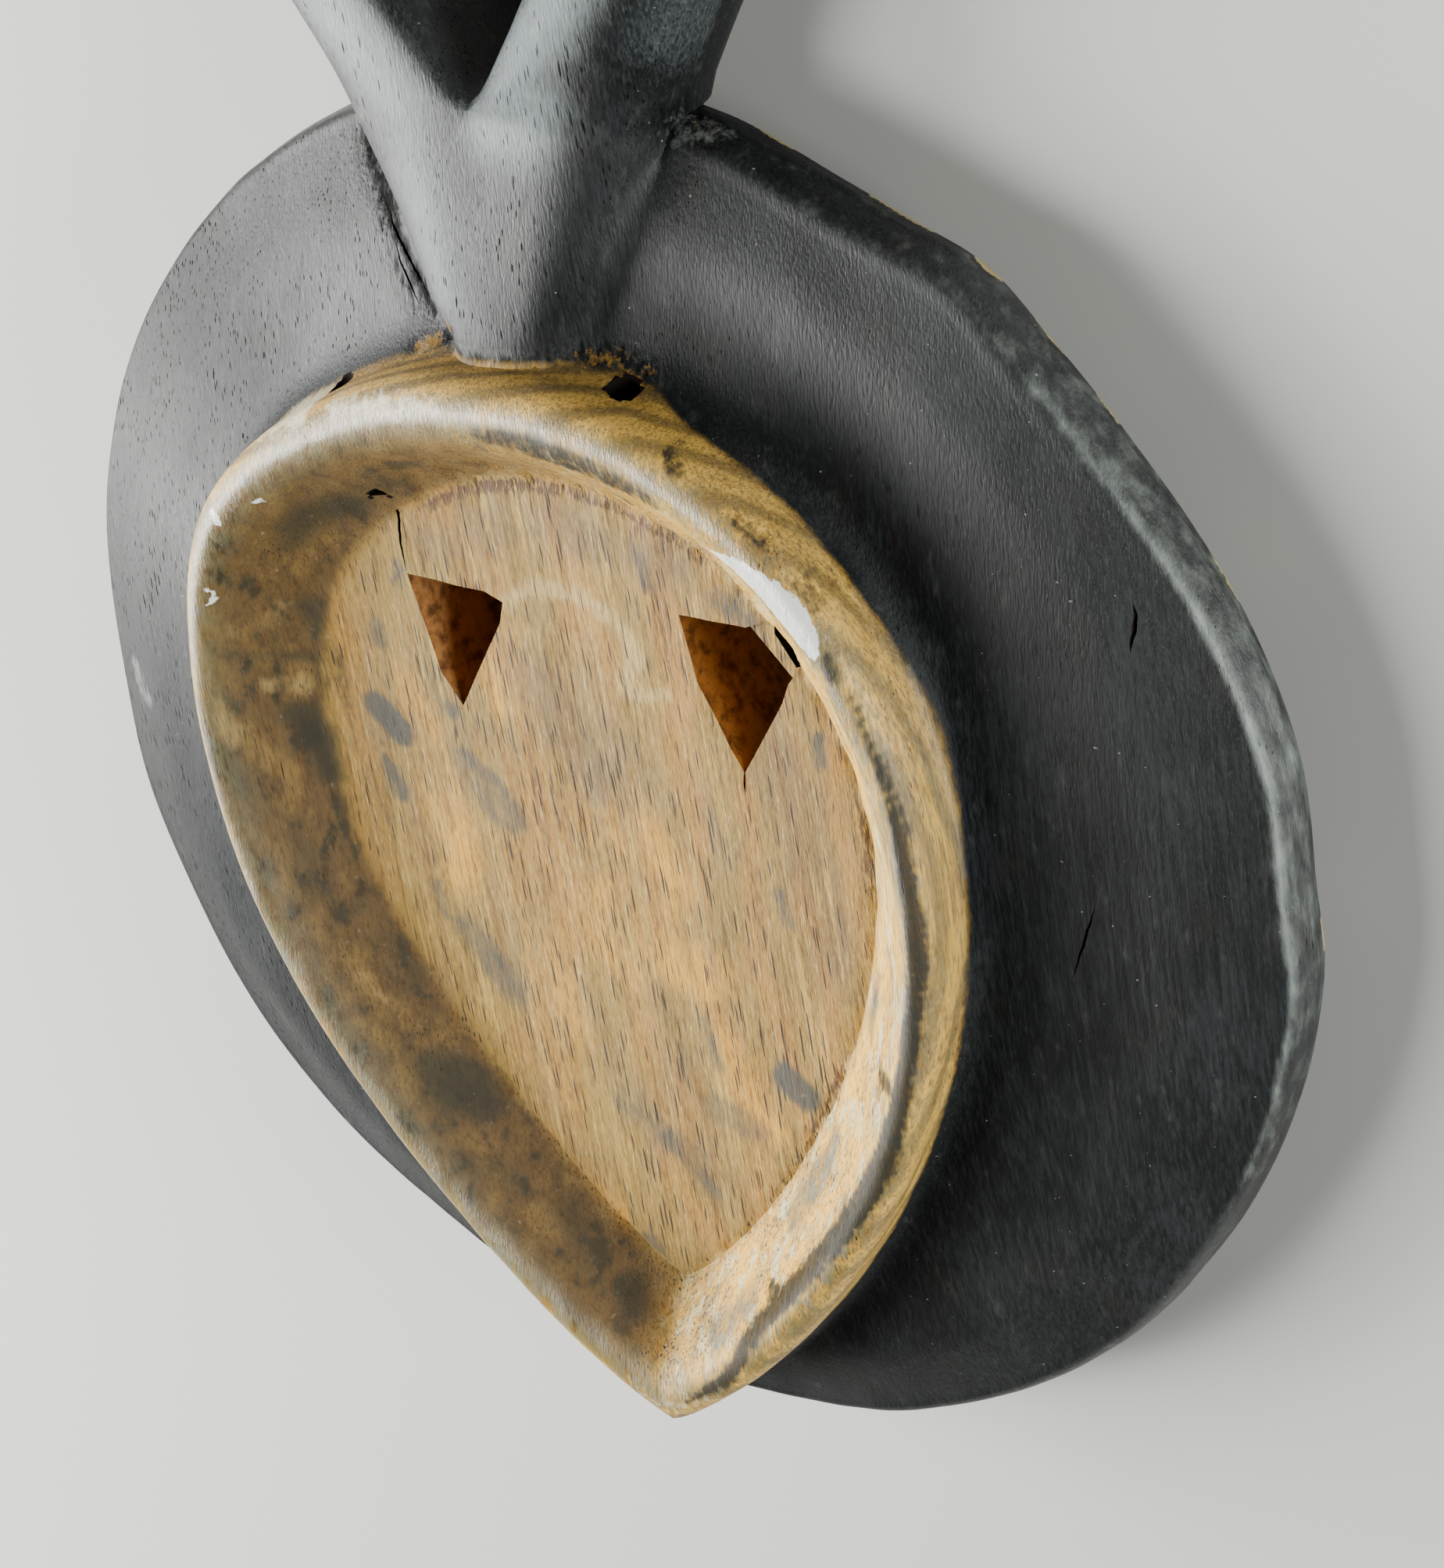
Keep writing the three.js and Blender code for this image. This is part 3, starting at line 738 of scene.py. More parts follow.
GOUGED = [
    (1.0, [
        (-34.5, 129, 6), (-32.5, 124, 6), (-29.5, 118, 4.5), (-26.5, 112, 3), (-22.5, 105, 2.5),
        (-19, 98.5, 2),
    ]),
    (0.6, [(-30.5, 113, 2), (-27, 106, 2.5), (-23, 99, 2)]),
    (0.8, [(34, 131, 6), (39, 130.5, 6)]),
    (0.7, [(-22, 93.5, 3), (-13, 96, 4), (-9, 99, 3)]),
    (0.5, [(8, 95, 3), (18, 95, 4), (28, 92, 5)]),
    (0.7, [(-11, 95.5, 1.5), (-2, 94.8, 2), (7, 95, 2)]),
]
print(f"{len(GOUGED)} rough gouge cuts")

# %% [markdown]
# Chips break the edge of the disc, most of them on the right. Each is a shallow bite, given by its turn
# in degrees and by how long and how deep it is, and it is deepest at the front of the edge.

# %% Chips in the edge
CHIPS = [
    dict(turn=70, length=13, depth=1.0),
    dict(turn=59, length=16, depth=1.7),
    dict(turn=51.5, length=7, depth=2.2),
    dict(turn=45, length=12, depth=0.9),
    dict(turn=38.6, length=9, depth=1.5),
    dict(turn=24, length=14, depth=1.0),
    dict(turn=-4, length=9, depth=1.3),
    dict(turn=-38, length=12, depth=0.7),
    dict(turn=100, length=14, depth=0.8),
    dict(turn=128, length=11, depth=0.8),
    dict(turn=186, length=14, depth=1.0),
    dict(turn=232, length=12, depth=0.9),
]
CHIP_HEIGHT = 9


def polar(points):
    """Distance and direction of points from the middle of the disc."""
    return np.hypot(points[:, 0], points[:, 1]), np.arctan2(points[:, 1], points[:, 0])


def chip_depth(radius, turn, z):
    """How much the chips take off the edge, in millimetres, at points near it."""
    depth = np.zeros(len(radius))
    for chip in CHIPS:
        distance = (np.degrees(turn) - chip["turn"] + 180) % 360 - 180
        along_edge = np.radians(distance) * DISC_RADIUS / (chip["length"] / 2)
        up = np.clip((z - FRONT_PLANE) / CHIP_HEIGHT, 0, 1)
        depth = np.maximum(depth, chip["depth"] * np.sqrt(np.clip(1 - along_edge ** 2, 0, 1)) * (1 - up))
    return depth


print(f"{len(CHIPS)} chips, the deepest {max(chip['depth'] for chip in CHIPS)} mm")

# %% [markdown]
# Tool marks and torn fibres follow the grain, which runs from chin to horns, so their noise is stretched
# along it. Cells give scallops: the nearest cell's middle is where a gouge went deepest. The sizes are in
# millimetres, across the grain and along it.

# %% Noise along the grain
BLADE = dict(across=26, along_grain=70, seed=3.1)
SMALL_BLADE = dict(across=8, along_grain=22, seed=7.7)
SCALLOP = dict(across=6.5, along_grain=15, seed=1.3)
SCRAPE = dict(across=1.6, along_grain=60, seed=5.2)
TEAR = dict(across=3, along_grain=7, seed=9.4)
SPLINTER = dict(across=2.5, along_grain=6, seed=2.2)


def in_wood(points, across, along_grain, seed):
    """Points in a space that is stretched along the grain, with sizes in millimetres."""
    return (points / (across, along_grain, across) + seed).tolist()


def wood_noise(points, **stretch):
    """Smooth noise from -1 to 1, stretched along the grain."""
    return np.array([noise.noise(point) for point in in_wood(points, **stretch)])


def scallops(points, **stretch):
    """Distance from the middle of the nearest gouge stroke, from 0 to about 1."""
    return np.array([noise.voronoi(point)[0][0] for point in in_wood(points, **stretch)])


print("noise in the middle of the disc:", wood_noise(np.zeros((1, 3)), **BLADE).round(2).tolist())

# %% [markdown]
# Now the tool marks. A broad, faint noise makes every surface slightly uneven, as a blade leaves it. Rows
# of shallow scallops are the gouge's strokes on the floor of the hollow. Short scrapes end in a torn
# corner under the lip. Every point moves along its normal, and the edge is then cut back by its chips.

# %% Tool marks
BLADE_DEPTH, SMALL_BLADE_DEPTH = 0.45, 0.16
SCALLOP_DEPTH, SCALLOP_LEVEL = 0.5, 0.12
SCRAPE_DEPTH, SCRAPE_RAGGEDNESS = 0.4, 0.5
TEAR_DEPTH, TEAR_REACH = 0.5, 1.8
GOUGE_DEPTH, SPLINTER_DEPTH = 0.5, 0.9
SCRAPED_TURNS, SCRAPE_LENGTH = np.radians((40, 140)), 4.5


def carve(mesh):
    """Moves every point of the joined mask by the marks of the tools."""
    points = read_points(mesh)
    normals = np.empty(len(points) * 3)
    mesh.vertices.foreach_get("normal", normals)
    normals = normals.reshape(-1, 3)
    radius, turn = polar(points)
    in_hollow = (points[:, 2] > FLOOR_Z - 3) & (radius < at_turn(rim_radius[CREST], turn))
    to_wall = at_turn(rim_radius[FLOOR_EDGE], turn) - radius
    offset = BLADE_DEPTH * wood_noise(points, **BLADE)
    offset = offset + SMALL_BLADE_DEPTH * wood_noise(points, **SMALL_BLADE)
    offset[in_hollow] += SCALLOP_DEPTH * scallops(points[in_hollow], **SCALLOP) ** 2 - SCALLOP_LEVEL
    scraped = in_hollow & (turn > SCRAPED_TURNS[0]) & (turn < SCRAPED_TURNS[1])
    cut = np.clip(1 - np.abs(to_wall[scraped]) / SCRAPE_LENGTH, 0, 1)
    offset[scraped] -= cut * (SCRAPE_DEPTH + SCRAPE_RAGGEDNESS * wood_noise(points[scraped], **SCRAPE))
    corner = 1 - smooth_step(np.abs(to_wall), 0, TEAR_REACH)
    sharp = np.clip(1 - at_turn(SOFT_CORNER, turn), 0, 1)
    offset -= in_hollow * corner * sharp * (TEAR_DEPTH + TEAR_DEPTH * wood_noise(points, **TEAR))
    gouged = stroke_field(points, GOUGED, 1.2) * (points[:, 2] > ARRIS_Z - 2)
    offset -= gouged * (GOUGE_DEPTH + SPLINTER_DEPTH * np.abs(wood_noise(points, **SPLINTER)))
    rests = points[:, 2] < 2
    points += normals * np.where(rests, 0, offset)[:, None]
    radius, turn = polar(points)
    limit = at_turn(edge_radius, turn) + EDGE_BULGE - chip_depth(radius, turn, points[:, 2])
    near_edge = (points[:, 2] < ARRIS_Z + 3) & (points[:, 2] > FRONT_PLANE - 1) & (radius < DISC_RADIUS + 5)
    scale = np.where(near_edge & (radius > limit), limit / radius, 1)
    points[:, :2] *= scale[:, None]
    write_points(mesh, points)
    return offset


moved = carve(mask.data)
print(f"tool marks from {moved.min():.2f} to {moved.max():.2f} mm")

# %% [markdown]
# Last come the sharp cuts, because the tool marks would blur their edges. The eyes are cut straight
# through. The right eye's outer corner broke: a thin ledge stands a little below the floor, with a dark
# gap behind it. Outlines are in plan, and a height for each corner lets the ledge slope.

# %% Where the eyes and the broken corner are cut
EYE_OUTLINES = {
    "left eye": [
        (-34.5, 48.2), (-25, 47.2), (-17, 46.4), (-13.1, 44.6), (-14.6, 40.4), (-27.4, 21.9),
        (-31.2, 28.5), (-33.3, 40),
    ],
    "right eye": [
        (26.9, 47), (41.5, 46.3), (49.0, 37.2), (46.6, 32.6), (35.6, 17.1), (33.4, 21.5), (28.6, 34),
    ],
}
CORNER_LEDGE = [(41.0, 46.3), (48.6, 49.0), (53.0, 42.0), (48.9, 36.8)]
LEDGE_DEPTHS = (0.8, 1.7, 1.9, 0.8)
GAP_BEHIND_LEDGE = [
    (46.4, 47.6), (49.5, 48.6), (53.0, 44.0), (51.4, 39.6), (49.8, 39.2), (48.0, 42.2), (46.2, 45.2),
]
GAP_DEPTH = 4.5


def flat_rings(outline, bottoms, top):
    """An outline in plan between a bottom height for each point and a flat top."""
    outline = np.array(outline, float)
    return [np.column_stack([outline, np.broadcast_to(z, len(outline))]) for z in (bottoms, top)]


for name, outline in EYE_OUTLINES.items():
    combine(mask, loft(name, flat_rings(outline, -BURIED, FLOOR_Z + 4)), "DIFFERENCE")
ledge = flat_rings(CORNER_LEDGE, FLOOR_Z - np.array(LEDGE_DEPTHS), FLOOR_Z + 1.6)
combine(mask, loft("ledge", ledge), "DIFFERENCE")
gap = flat_rings(GAP_BEHIND_LEDGE, FLOOR_Z - GAP_DEPTH, FLOOR_Z + 2.5)
combine(mask, loft("gap", gap), "DIFFERENCE")
print(f"eyes and gap cut: {len(mask.data.polygons)} faces")

# %% [markdown]
# The two holes for the holding string were burnt or drilled through the top of the rim, along the mask's
# length. They lean outwards and open wider on the outside, so each is cut with a slim cone.

# %% String holes
STRING_HOLE = dict(z=41.7, lean=0.19, y=80, ends=(-15, 17), radii=(1.8, 3.3))
STRING_HOLE_X = {"left": -37.0, "right": 24.2}
HOLE_SIDES = 32


def hole_lean(side):
    """The angle by which a string hole leans outwards, with its sign."""
    return STRING_HOLE["lean"] * (1 if side == "right" else -1)


def string_hole_rings(side):
    """A straight bore along the mask's length, leaning outwards and narrower inside."""
    turn = np.linspace(0, 2 * math.pi, HOLE_SIDES, endpoint=False)
    lean = hole_lean(side)
    rings = []
    for run, radius in zip(STRING_HOLE["ends"], STRING_HOLE["radii"]):
        x = STRING_HOLE_X[side] + run * math.sin(lean) + radius * np.cos(turn)
        y = STRING_HOLE["y"] + run * math.cos(lean) + 0 * turn
        rings.append(np.column_stack([x, y, STRING_HOLE["z"] + radius * np.sin(turn)]))
    return rings


for side in STRING_HOLE_X:
    combine(mask, loft(side, string_hole_rings(side)), "DIFFERENCE")
print(f"string holes lean by {math.degrees(hole_lean('right')):.0f} degrees")

# %% [markdown]
# Drying cracks open along the grain. Each is cut with a thin wedge along a short path, widest in its
# middle, that wanders a little as a crack does. The ground is cut off last, which leaves the worn flats
# that the horns rest on.

# %% Cracks and ground
CRACK_WANDER = 0.25
CRACK_LIFT = 1.0
FLOOR_CRACKS_WITHIN = 78
CRACKS = [
    dict(path=[(112.8, 55.2), (113.1, 52.3), (112.8, 49.4), (112.2, 46.7)], width=1.0, depth=2.5),
    dict(path=[(102.7, 0.7), (100.8, -4.7), (98.9, -9.4), (96.2, -16.6)], width=0.8, depth=2),
    dict(path=[
        (-27.8, 111.5), (-26.7, 108.2), (-25.3, 105), (-23.5, 101.8), (-21.7, 98.6),
    ], width=0.9, depth=2),
    dict(path=[(-32, 68.3), (-33.2, 61), (-34.3, 54), (-34.6, 47.6)], width=0.7, depth=2),
    dict(path=[(35.7, 18), (35.3, 15.6), (34.9, 12.6)], width=0.8, depth=2),
    dict(path=[
        (-32, 122), (-29, 115.5), (-25.3, 109), (-21.5, 103), (-18.3, 98.4),
    ], width=1.4, depth=1.6),
]


def crack_rings(path, width, depth):
    """A thin wedge along a path, widest in its middle, that opens just above the surface."""
    path = np.array(path, float)
    places = np.arange(len(path))
    share = np.linspace(0, 1, 6 * len(path))
    xy = along(places, path, share * places[-1])
    xy[:, 0] += CRACK_WANDER * np.array([noise.noise((x, y / 2, 0)) for x, y in xy.tolist()])
    across = np.gradient(xy, axis=0)[:, ::-1] * (1, -1)
    across /= np.linalg.norm(across, axis=1)[:, None]
    open_by = width / 2 * np.sin(math.pi * np.clip(share, 0.02, 0.98)) ** 0.6
    radius = np.hypot(*xy.T)
    surface = np.where(radius < FLOOR_CRACKS_WITHIN, FLOOR_Z, back_height(radius))
    left, right = xy + across * open_by[:, None], xy - across * open_by[:, None]
    sink = depth * np.sin(math.pi * np.clip(share, 0.03, 0.97))
    return np.stack([
        np.column_stack([left, surface + CRACK_LIFT]),
        np.column_stack([right, surface + CRACK_LIFT]),
        np.column_stack([xy, surface - sink]),
    ], axis=1)


for number, crack in enumerate(CRACKS):
    combine(mask, loft(f"crack {number}", crack_rings(**crack)), "DIFFERENCE")
ground = [(-200, -200), (200, -200), (200, 400), (-200, 400)]
combine(mask, loft("ground", flat_rings(ground, -30, 0)), "DIFFERENCE")
triangles = sum(len(face.vertices) - 2 for face in mask.data.polygons)
print(f"{triangles} triangles in all")

# %% [markdown]
# The finish isn't the same everywhere. Damp left grey stains on the hollow's floor, and its left wall is
# darker: stained by sweat, with painted shade in its upper corner. Each kind of mark is a list of strokes,
# as above. They are placed one by one, and a stroke only needs the right place and width, because the
# shader breaks up its border later.

# %% Grey and dark stains in the hollow
GREY_STAINS = [
    (1.0, [(-49.5, 19, 6), (-45, 14, 7)]),
    (0.6, [(-45.5, 36, 5), (-45.5, 33, 5)]),
    (0.8, [(-50, 7, 3), (-48, 0.5, 5)]),
    (0.55, [(-30, 10, 7), (-25, 4, 10), (-21, -1, 7)]),
    (0.7, [(-31, 20.5, 5)]),
    (0.7, [(-36, 49, 4), (-37.5, 46, 3)]),
    (0.6, [(20.5, 58, 4), (21.5, 52, 4)]),
    (0.8, [(53.5, 27, 3), (52.5, 22, 4)]),
    (0.6, [(39, -7, 4), (40, -12, 4)]),
    (1.0, [(33.5, -46.5, 7), (37, -49.5, 7)]),
    (0.6, [(17, -38, 3), (18.5, -48, 3)]),
    (0.5, [(15, -57, 8), (24, -60, 8)]),
    (0.8, [(-7, -92, 4), (-3.5, -95, 3)]),
    (0.6, [(2, -66, 6), (12, -78, 4)]),
    (0.6, [(-44, -19, 3), (-43, -26, 3)]),
    (0.6, [(-38, -28, 8), (-29, -41, 8)]),
    (0.5, [(-8, -61, 5), (10, -69, 5)]),
    (0.6, [(36, 51, 6), (42, 48, 4)]),
    (0.6, [(46, -54, 4), (41, -64, 6), (33, -75, 5)]),
    (0.6, [(14, -103, 6), (24, -92, 5)]),
    (0.7, [(60, -18, 3), (57, -30, 4)]),
]
# Dark stains, and painted shade in the left wall's upper corner.
DARK_STAINS_AND_SHADE = [
    (0.9, [(-49, -56, 7), (-43, -62, 9), (-38, -67, 6)]),
    (0.5, [(-56, -32, 5), (-52, -41, 5)]),
    (0.4, [(-63, -25, 7)]),
    (0.5, [(-40, -75, 5), (-32, -80, 6)]),
    (0.9, [(-9.5, -100, 6), (-7.5, -105, 6)]),
    (0.6, [(-6, -111, 4)]),
    (0.9, [(-66, 17, 6), (-63.5, 9, 7), (-63, 3, 5)]),
    (0.7, [(-59, 40, 5), (-58, 37, 5)]),
    (0.8, [(-76, 3, 4), (-78, 13, 4)]),
    (0.9, [(-73, 33, 1), (-68, 31, 1.5), (-62, 29, 2), (-56, 27, 2.5)]),
    (0.7, [(-61, 26, 1), (-60.5, 22, 1.5), (-63, 19, 1.5), (-70, 18, 1)]),
    (0.8, [(-57, 54, 5), (-49, 61, 7), (-40, 64, 7)]),
    (0.6, [(-68, 54, 3), (-66, 60, 4)]),
    (0.6, [(-70, -8, 4), (-66, -20, 5)]),
    (0.7, [(-57, 30, 5), (-56, 8, 3), (-53, -6, 2.5)]),
    (0.6, [(-36, 67, 4), (-28, 69, 4)]),
    (0.6, [(-24, -86, 5), (-16, -95, 4)]),
]
print(len(GREY_STAINS), "grey and", len(DARK_STAINS_AND_SHADE), "dark stains")

# %% [markdown]
# Other places differ by tone alone. Oil turned some of the wood orange, and dust dulled more of it. Where
# the surface was cut or rubbed last, it is paler. The splinter beside the right eye is paler still, as a
# painted highlight on its lit face.

# %% Orange, dusty and pale wood
ORANGE_ZONES = [
    (1.0, [(-41, 24, 9), (-38, 11, 11), (-36, -2, 11), (-36, -15, 10)]),
    (0.8, [(-20, 29, 7), (-19, 23, 8)]),
    (0.8, [(0, 4, 14), (12, -9, 18), (0, -21, 18), (18, -26, 16)]),
    (0.7, [(-21, -30, 10), (-15, -46, 10)]),
    (0.8, [(21, -41, 8), (24, -55, 9), (30, -60, 7)]),
    (0.7, [(-17, -84, 6), (-5, -93, 6)]),
    (0.9, [(-69, 56, 5), (-70, 48, 5)]),
    (0.8, [(66, -12, 5), (69, -17, 6), (61, -37, 6)]),
    (0.6, [(-70, 28, 5), (-74, -10, 6)]),
]
DUSTY_ZONES = [
    (0.8, [(-26, 57, 12), (0, 62, 12), (26, 57, 12)]),
    (0.9, [(-8, 29, 13), (0, 10, 12)]),
    (0.5, [(-2, -64, 14), (9, -73, 12)]),
    (0.7, [(45, 22, 10), (48, -6, 14), (42, -30, 12)]),
    (0.6, [(23, 13, 9), (28, 0, 9)]),
    (0.8, [(-31, -34, 10)]),
]
PALE_FIGURE_AND_LIT_LEDGE = [
    (0.6, [(-76, 44, 5), (-77, 30, 5), (-76, 14, 4)]),
    # Painted highlight: the lit face of the broken ledge beside the right eye.
    (1.0, [(43.5, 45, 3), (46, 42.3, 4), (48.3, 38.9, 3)]),
    (0.5, [(-69, 24, 4), (-65, 23.5, 6)]),
    (0.4, [(-66, 38, 4), (-62, 41, 4)]),
    (0.4, [(-62, -36, 3), (-55, -45, 3)]),
    (0.9, [(-13, 44, 3), (-4, 48.5, 3.5), (8, 46.5, 4), (15.5, 39, 4.5), (11.5, 30, 4), (21, 30.5, 3)]),
    (0.5, [(-11, 39, 2), (0, 39.5, 2.5), (9, 35, 2)]),
    (0.4, [(-20, -3, 2), (-5, -12, 2), (6, -26, 2)]),
]
print(len(ORANGE_ZONES + DUSTY_ZONES + PALE_FIGURE_AND_LIT_LEDGE), "zones of another tone")

# %% [markdown]
# The lip was painted with a dark stripe and then rubbed bare again, mostly at the upper left, where hands
# held it; there the pale rubbed wood also carries a painted highlight. White paint was smeared on it in one
# place and dropped in a few more.

# %% Stripe, smears and rubbing on the lip
LIP_MARKS = [
    (0.95, [
        (72.7, 44.6, 1.5), (77.6, 27, 2.5), (78.6, 13, 3.5), (78.2, -4, 4), (74.4, -20.8, 4),
        (70, -34.8, 4.5), (62.6, -51.5, 5.5), (49.4, -70.1, 5), (36, -85.7, 4.5), (26.5, -97, 4),
        (17.5, -110, 3.5), (6, -119, 2),
    ]),
    (0.7, [(3, 85.5, 4), (15, 84, 6), (27, 80.5, 6), (38, 76, 4)]),
    (0.9, [(40, 84, 1.5), (43, 81, 2)]),
    (1.0, [(53.5, 73.5, 1), (58.5, 69.5, 1.5)]),
    (0.7, [(64, 63.5, 2), (67, 59, 2)]),
    (0.8, [(69, 51, 3), (70, 48, 3)]),
    (0.8, [(63, -34, 4), (67, -33, 4)]),
    (0.8, [(31, -88, 5), (36, -86, 4)]),
    (0.55, [(-79, 44, 3), (-79.5, 34, 3), (-80, 14, 3), (-79, -2, 3)]),
    (0.6, [(82, 41, 2), (84, 25, 2), (84, 8, 2), (82, -8, 1)]),
]
# Rubbed, bleached wood on the lip, with a painted highlight at the upper left.
BLEACHED_AND_HIGHLIT_LIP = [
    (1.0, [(-82, 53, 4), (-80, 62, 5), (-71, 71, 5), (-56, 79, 4), (-40, 84, 4)]),
    (0.9, [(-31, 86.5, 3), (-18, 89, 3), (-5, 89.5, 2)]),
    (0.5, [(4, 89, 2), (20, 86.5, 2)]),
    (0.4, [(16, -114, 3), (8, -119, 5), (0, -122, 5), (-8, -118, 3)]),
]
WHITE_SMEARS = [
    (1.0, [
        (46, 67.5, 0.8), (52.5, 66.6, 2.6), (58, 63.3, 4.6), (62, 59.5, 5.6), (65, 55.5, 5),
        (66.6, 52.6, 3),
    ]),
    (1.0, [(-64, 64.5, 1.2), (-63.4, 62, 1.5)]),
    (0.9, [(-55, 66.4, 0.7), (-52.6, 67, 0.9)]),
    (0.9, [(-71.5, 48.5, 0.8), (-70.5, 47.5, 0.9), (-70.3, 45.2, 0.9), (-71.8, 44.5, 0.9)]),
]
print(len(LIP_MARKS + BLEACHED_AND_HIGHLIT_LIP + WHITE_SMEARS), "marks on the lip")

# %% [markdown]
# The black parts carry marks as well: raw wood where a splinter came off at the trunk's foot, grey scuffs,
# a silvery bloom of old wax along the horns and the trunk that is also a painted highlight on their lit
# sides, and the trunk's right side, whose sheen is taken down as painted shade.

# %% Marks on the black
RAW_WOOD = [
    (1.0, [(-21.5, 93.6, 2.2), (-16.5, 95.0, 2.4)]),
    (1.0, [(-11.5, 97.2, 2), (-9.6, 99.8, 2)]),
    (0.35, [(35, 131, 4), (40, 130, 4)]),
    (0.55, [(7, 94.5, 2), (14, 94.6, 3), (22, 94.2, 4), (29, 91.6, 3)]),
]
SCUFFS = [
    (0.75, [(-123, 13, 6), (-121, 7, 6)]),
    (0.3, [(-66, 112, 6), (-58, 108, 5)]),
    (0.7, [(33, 130, 5), (41, 130.5, 5)]),
    (0.6, [(-38, 95, 1.5), (-50, 88, 2.5), (-59, 83, 1.5)]),
    (0.5, [(-30, 101, 1.5), (-47, 96, 2)]),
]
# A silvery bloom of wax, laid mostly on the lit sides of the horns and trunk: partly a painted highlight.
SILVERED_AND_HIGHLIT = [
    (1.0, [
        (-13, 137, 9), (-19, 144, 12), (-30, 160, 14), (-47, 190, 16), (-60, 230, 16), (-58, 270, 12),
    ]),
    (1.0, [
        (7, 139, 5), (12, 145, 8), (20, 153, 10), (34, 171, 11), (50, 200, 12), (60, 235, 12),
        (56, 270, 10),
    ]),
    (0.75, [(-13, 132, 12), (-11, 120, 12), (-8, 106, 9)]),
    (0.35, [(-38, 104, 14), (-50, 92, 12)]),
    (0.85, [(5, 134, 12), (12, 133, 10), (17, 138, 8)]),
    (0.35, [(2, 122, 8), (0, 110, 6)]),
    (0.4, [(38, 148, 12), (50, 168, 12)]),
]
# The trunk's right side, turned from the light: its sheen is taken down as painted shade.
SHADED_TRUNK_SIDE = [
    (0.6, [(25, 126, 9), (19, 112, 8), (15, 99, 7)]),
]
print(len(RAW_WOOD + SCUFFS + SILVERED_AND_HIGHLIT + SHADED_TRUNK_SIDE), "marks on the black")

# %% [markdown]
# Other fields follow from the shape: which side of the paint line a point lies on, how near it is to the
# crest of the lip or the edge of the disc, and which wall of the hollow it is on. The tables of turns give
# a strength for each direction from the middle, going round from the chin.

# %% Strength by direction
PAINT_LINE = [
    (-90, 2.4), (-40, 3.2), (0, 3.4), (25, 2.6), (40, 5), (50, 5.8), (60, 6.6), (66, 6), (72, 3),
    (78, 2.4), (90, 3), (110, 2.0), (150, 2.0), (220, 2.2), (270, 2.4),
]
# The left wall is browner, partly its own tone and partly painted shade; the right wall is paler, a painted
# light.
BROWN_AND_SHADED_WALL = [
    (-90, 0.1), (-70, 0), (55, 0), (80, 0.35), (110, 0.8), (150, 1), (240, 1), (262, 0.9), (268, 0.6),
    (270, 0.1),
]
PALE_AND_LIT_WALL = [(-90, 0.5), (-80, 1), (30, 1), (60, 0.6), (90, 0.3), (120, 0), (265, 0), (270, 0.5)]
# The edge is rubbed grey, and brightest on the right, where a painted highlight stands in for the side
# light.
EDGE_WEAR_AND_HIGHLIGHT = [
    (-90, 0.1), (-50, 0.2), (-25, 0.4), (-5, 0.8), (12, 1), (30, 1), (40, 0.8), (50, 0.4), (60, 0.15),
    (75, 0.1), (100, 0.4), (140, 0.5), (180, 0.7), (215, 0.3), (250, 0.3), (270, 0.1),
]
# Sheen by direction, set to how bright the waxed black looks where the light falls: painted light and
# shade.
SHEEN = [
    (-90, 0.9), (-49, 1), (-7, 0.85), (26, 0.8), (40, 0.9), (58, 1), (65, 0.8), (72, 0.6), (90, 1),
    (110, 1), (120, 0.7), (130, 0.45), (142, 0.6), (152, 0.8), (166, 0.45), (197, 0.3), (212, 0.4),
    (235, 0.6), (270, 0.9),
]
OPEN_GRAIN = [
    (-90, 0.1), (60, 0.1), (80, 0.4), (100, 0.9), (180, 1), (215, 0.8), (250, 0.3), (270, 0.1),
]
# How much sheen the rim's cast shadow takes away beside it: painted shade.
RIM_SHADE = [
    (-90, 0.6), (-60, 0.9), (0, 1), (50, 1), (72, 0.7), (95, 0.2), (130, 0), (230, 0), (270, 0.6),
]
# Torn end grain at the foot of the wall, darkened as painted shade in the corner.
TORN_SHADED_CORNER = [
    (-90, 0.3), (-55, 0.9), (-45, 1), (-30, 0.3), (-10, 0.6), (5, 1), (20, 0.7), (45, 0.4), (70, 0.9),
    (110, 1), (130, 0), (270, 0.3),
]


def by_turn(stations, turn):
    """Reads a table of (degrees, value) at any direction."""
    return at_turn(per_spoke(stations), turn)


print(f"brown on the left wall: {by_turn(BROWN_AND_SHADED_WALL, math.pi):.2f}")

# %% [markdown]
# Every point of the mesh is now placed: above or below the paint line, in the hollow or on its wall, on
# the horns, on the edge or in a chip. The sheen is set by direction as painted light and shade, and taken
# down as painted shade in the rim's shadow beside it, on the trunk's shaded right side, and on a stretch of
# the edge at the upper right.

# %% Where each point lies
WEAR_BASE, ARRIS_HIGHLIGHT, ARRIS_HIGHLIGHT_AT, ARRIS_HIGHLIGHT_WIDTH = 0.22, 0.8, 2.2, 0.6
SHADE_AT, SHADE_WIDTH = 4, 10
SHADED_EDGE_TURNS = np.radians((45, 60, 90))


def near(distance, width):
    """1 at no distance, falling off to 0 over a width in millimetres."""
    return np.exp(-((distance / width) ** 2))


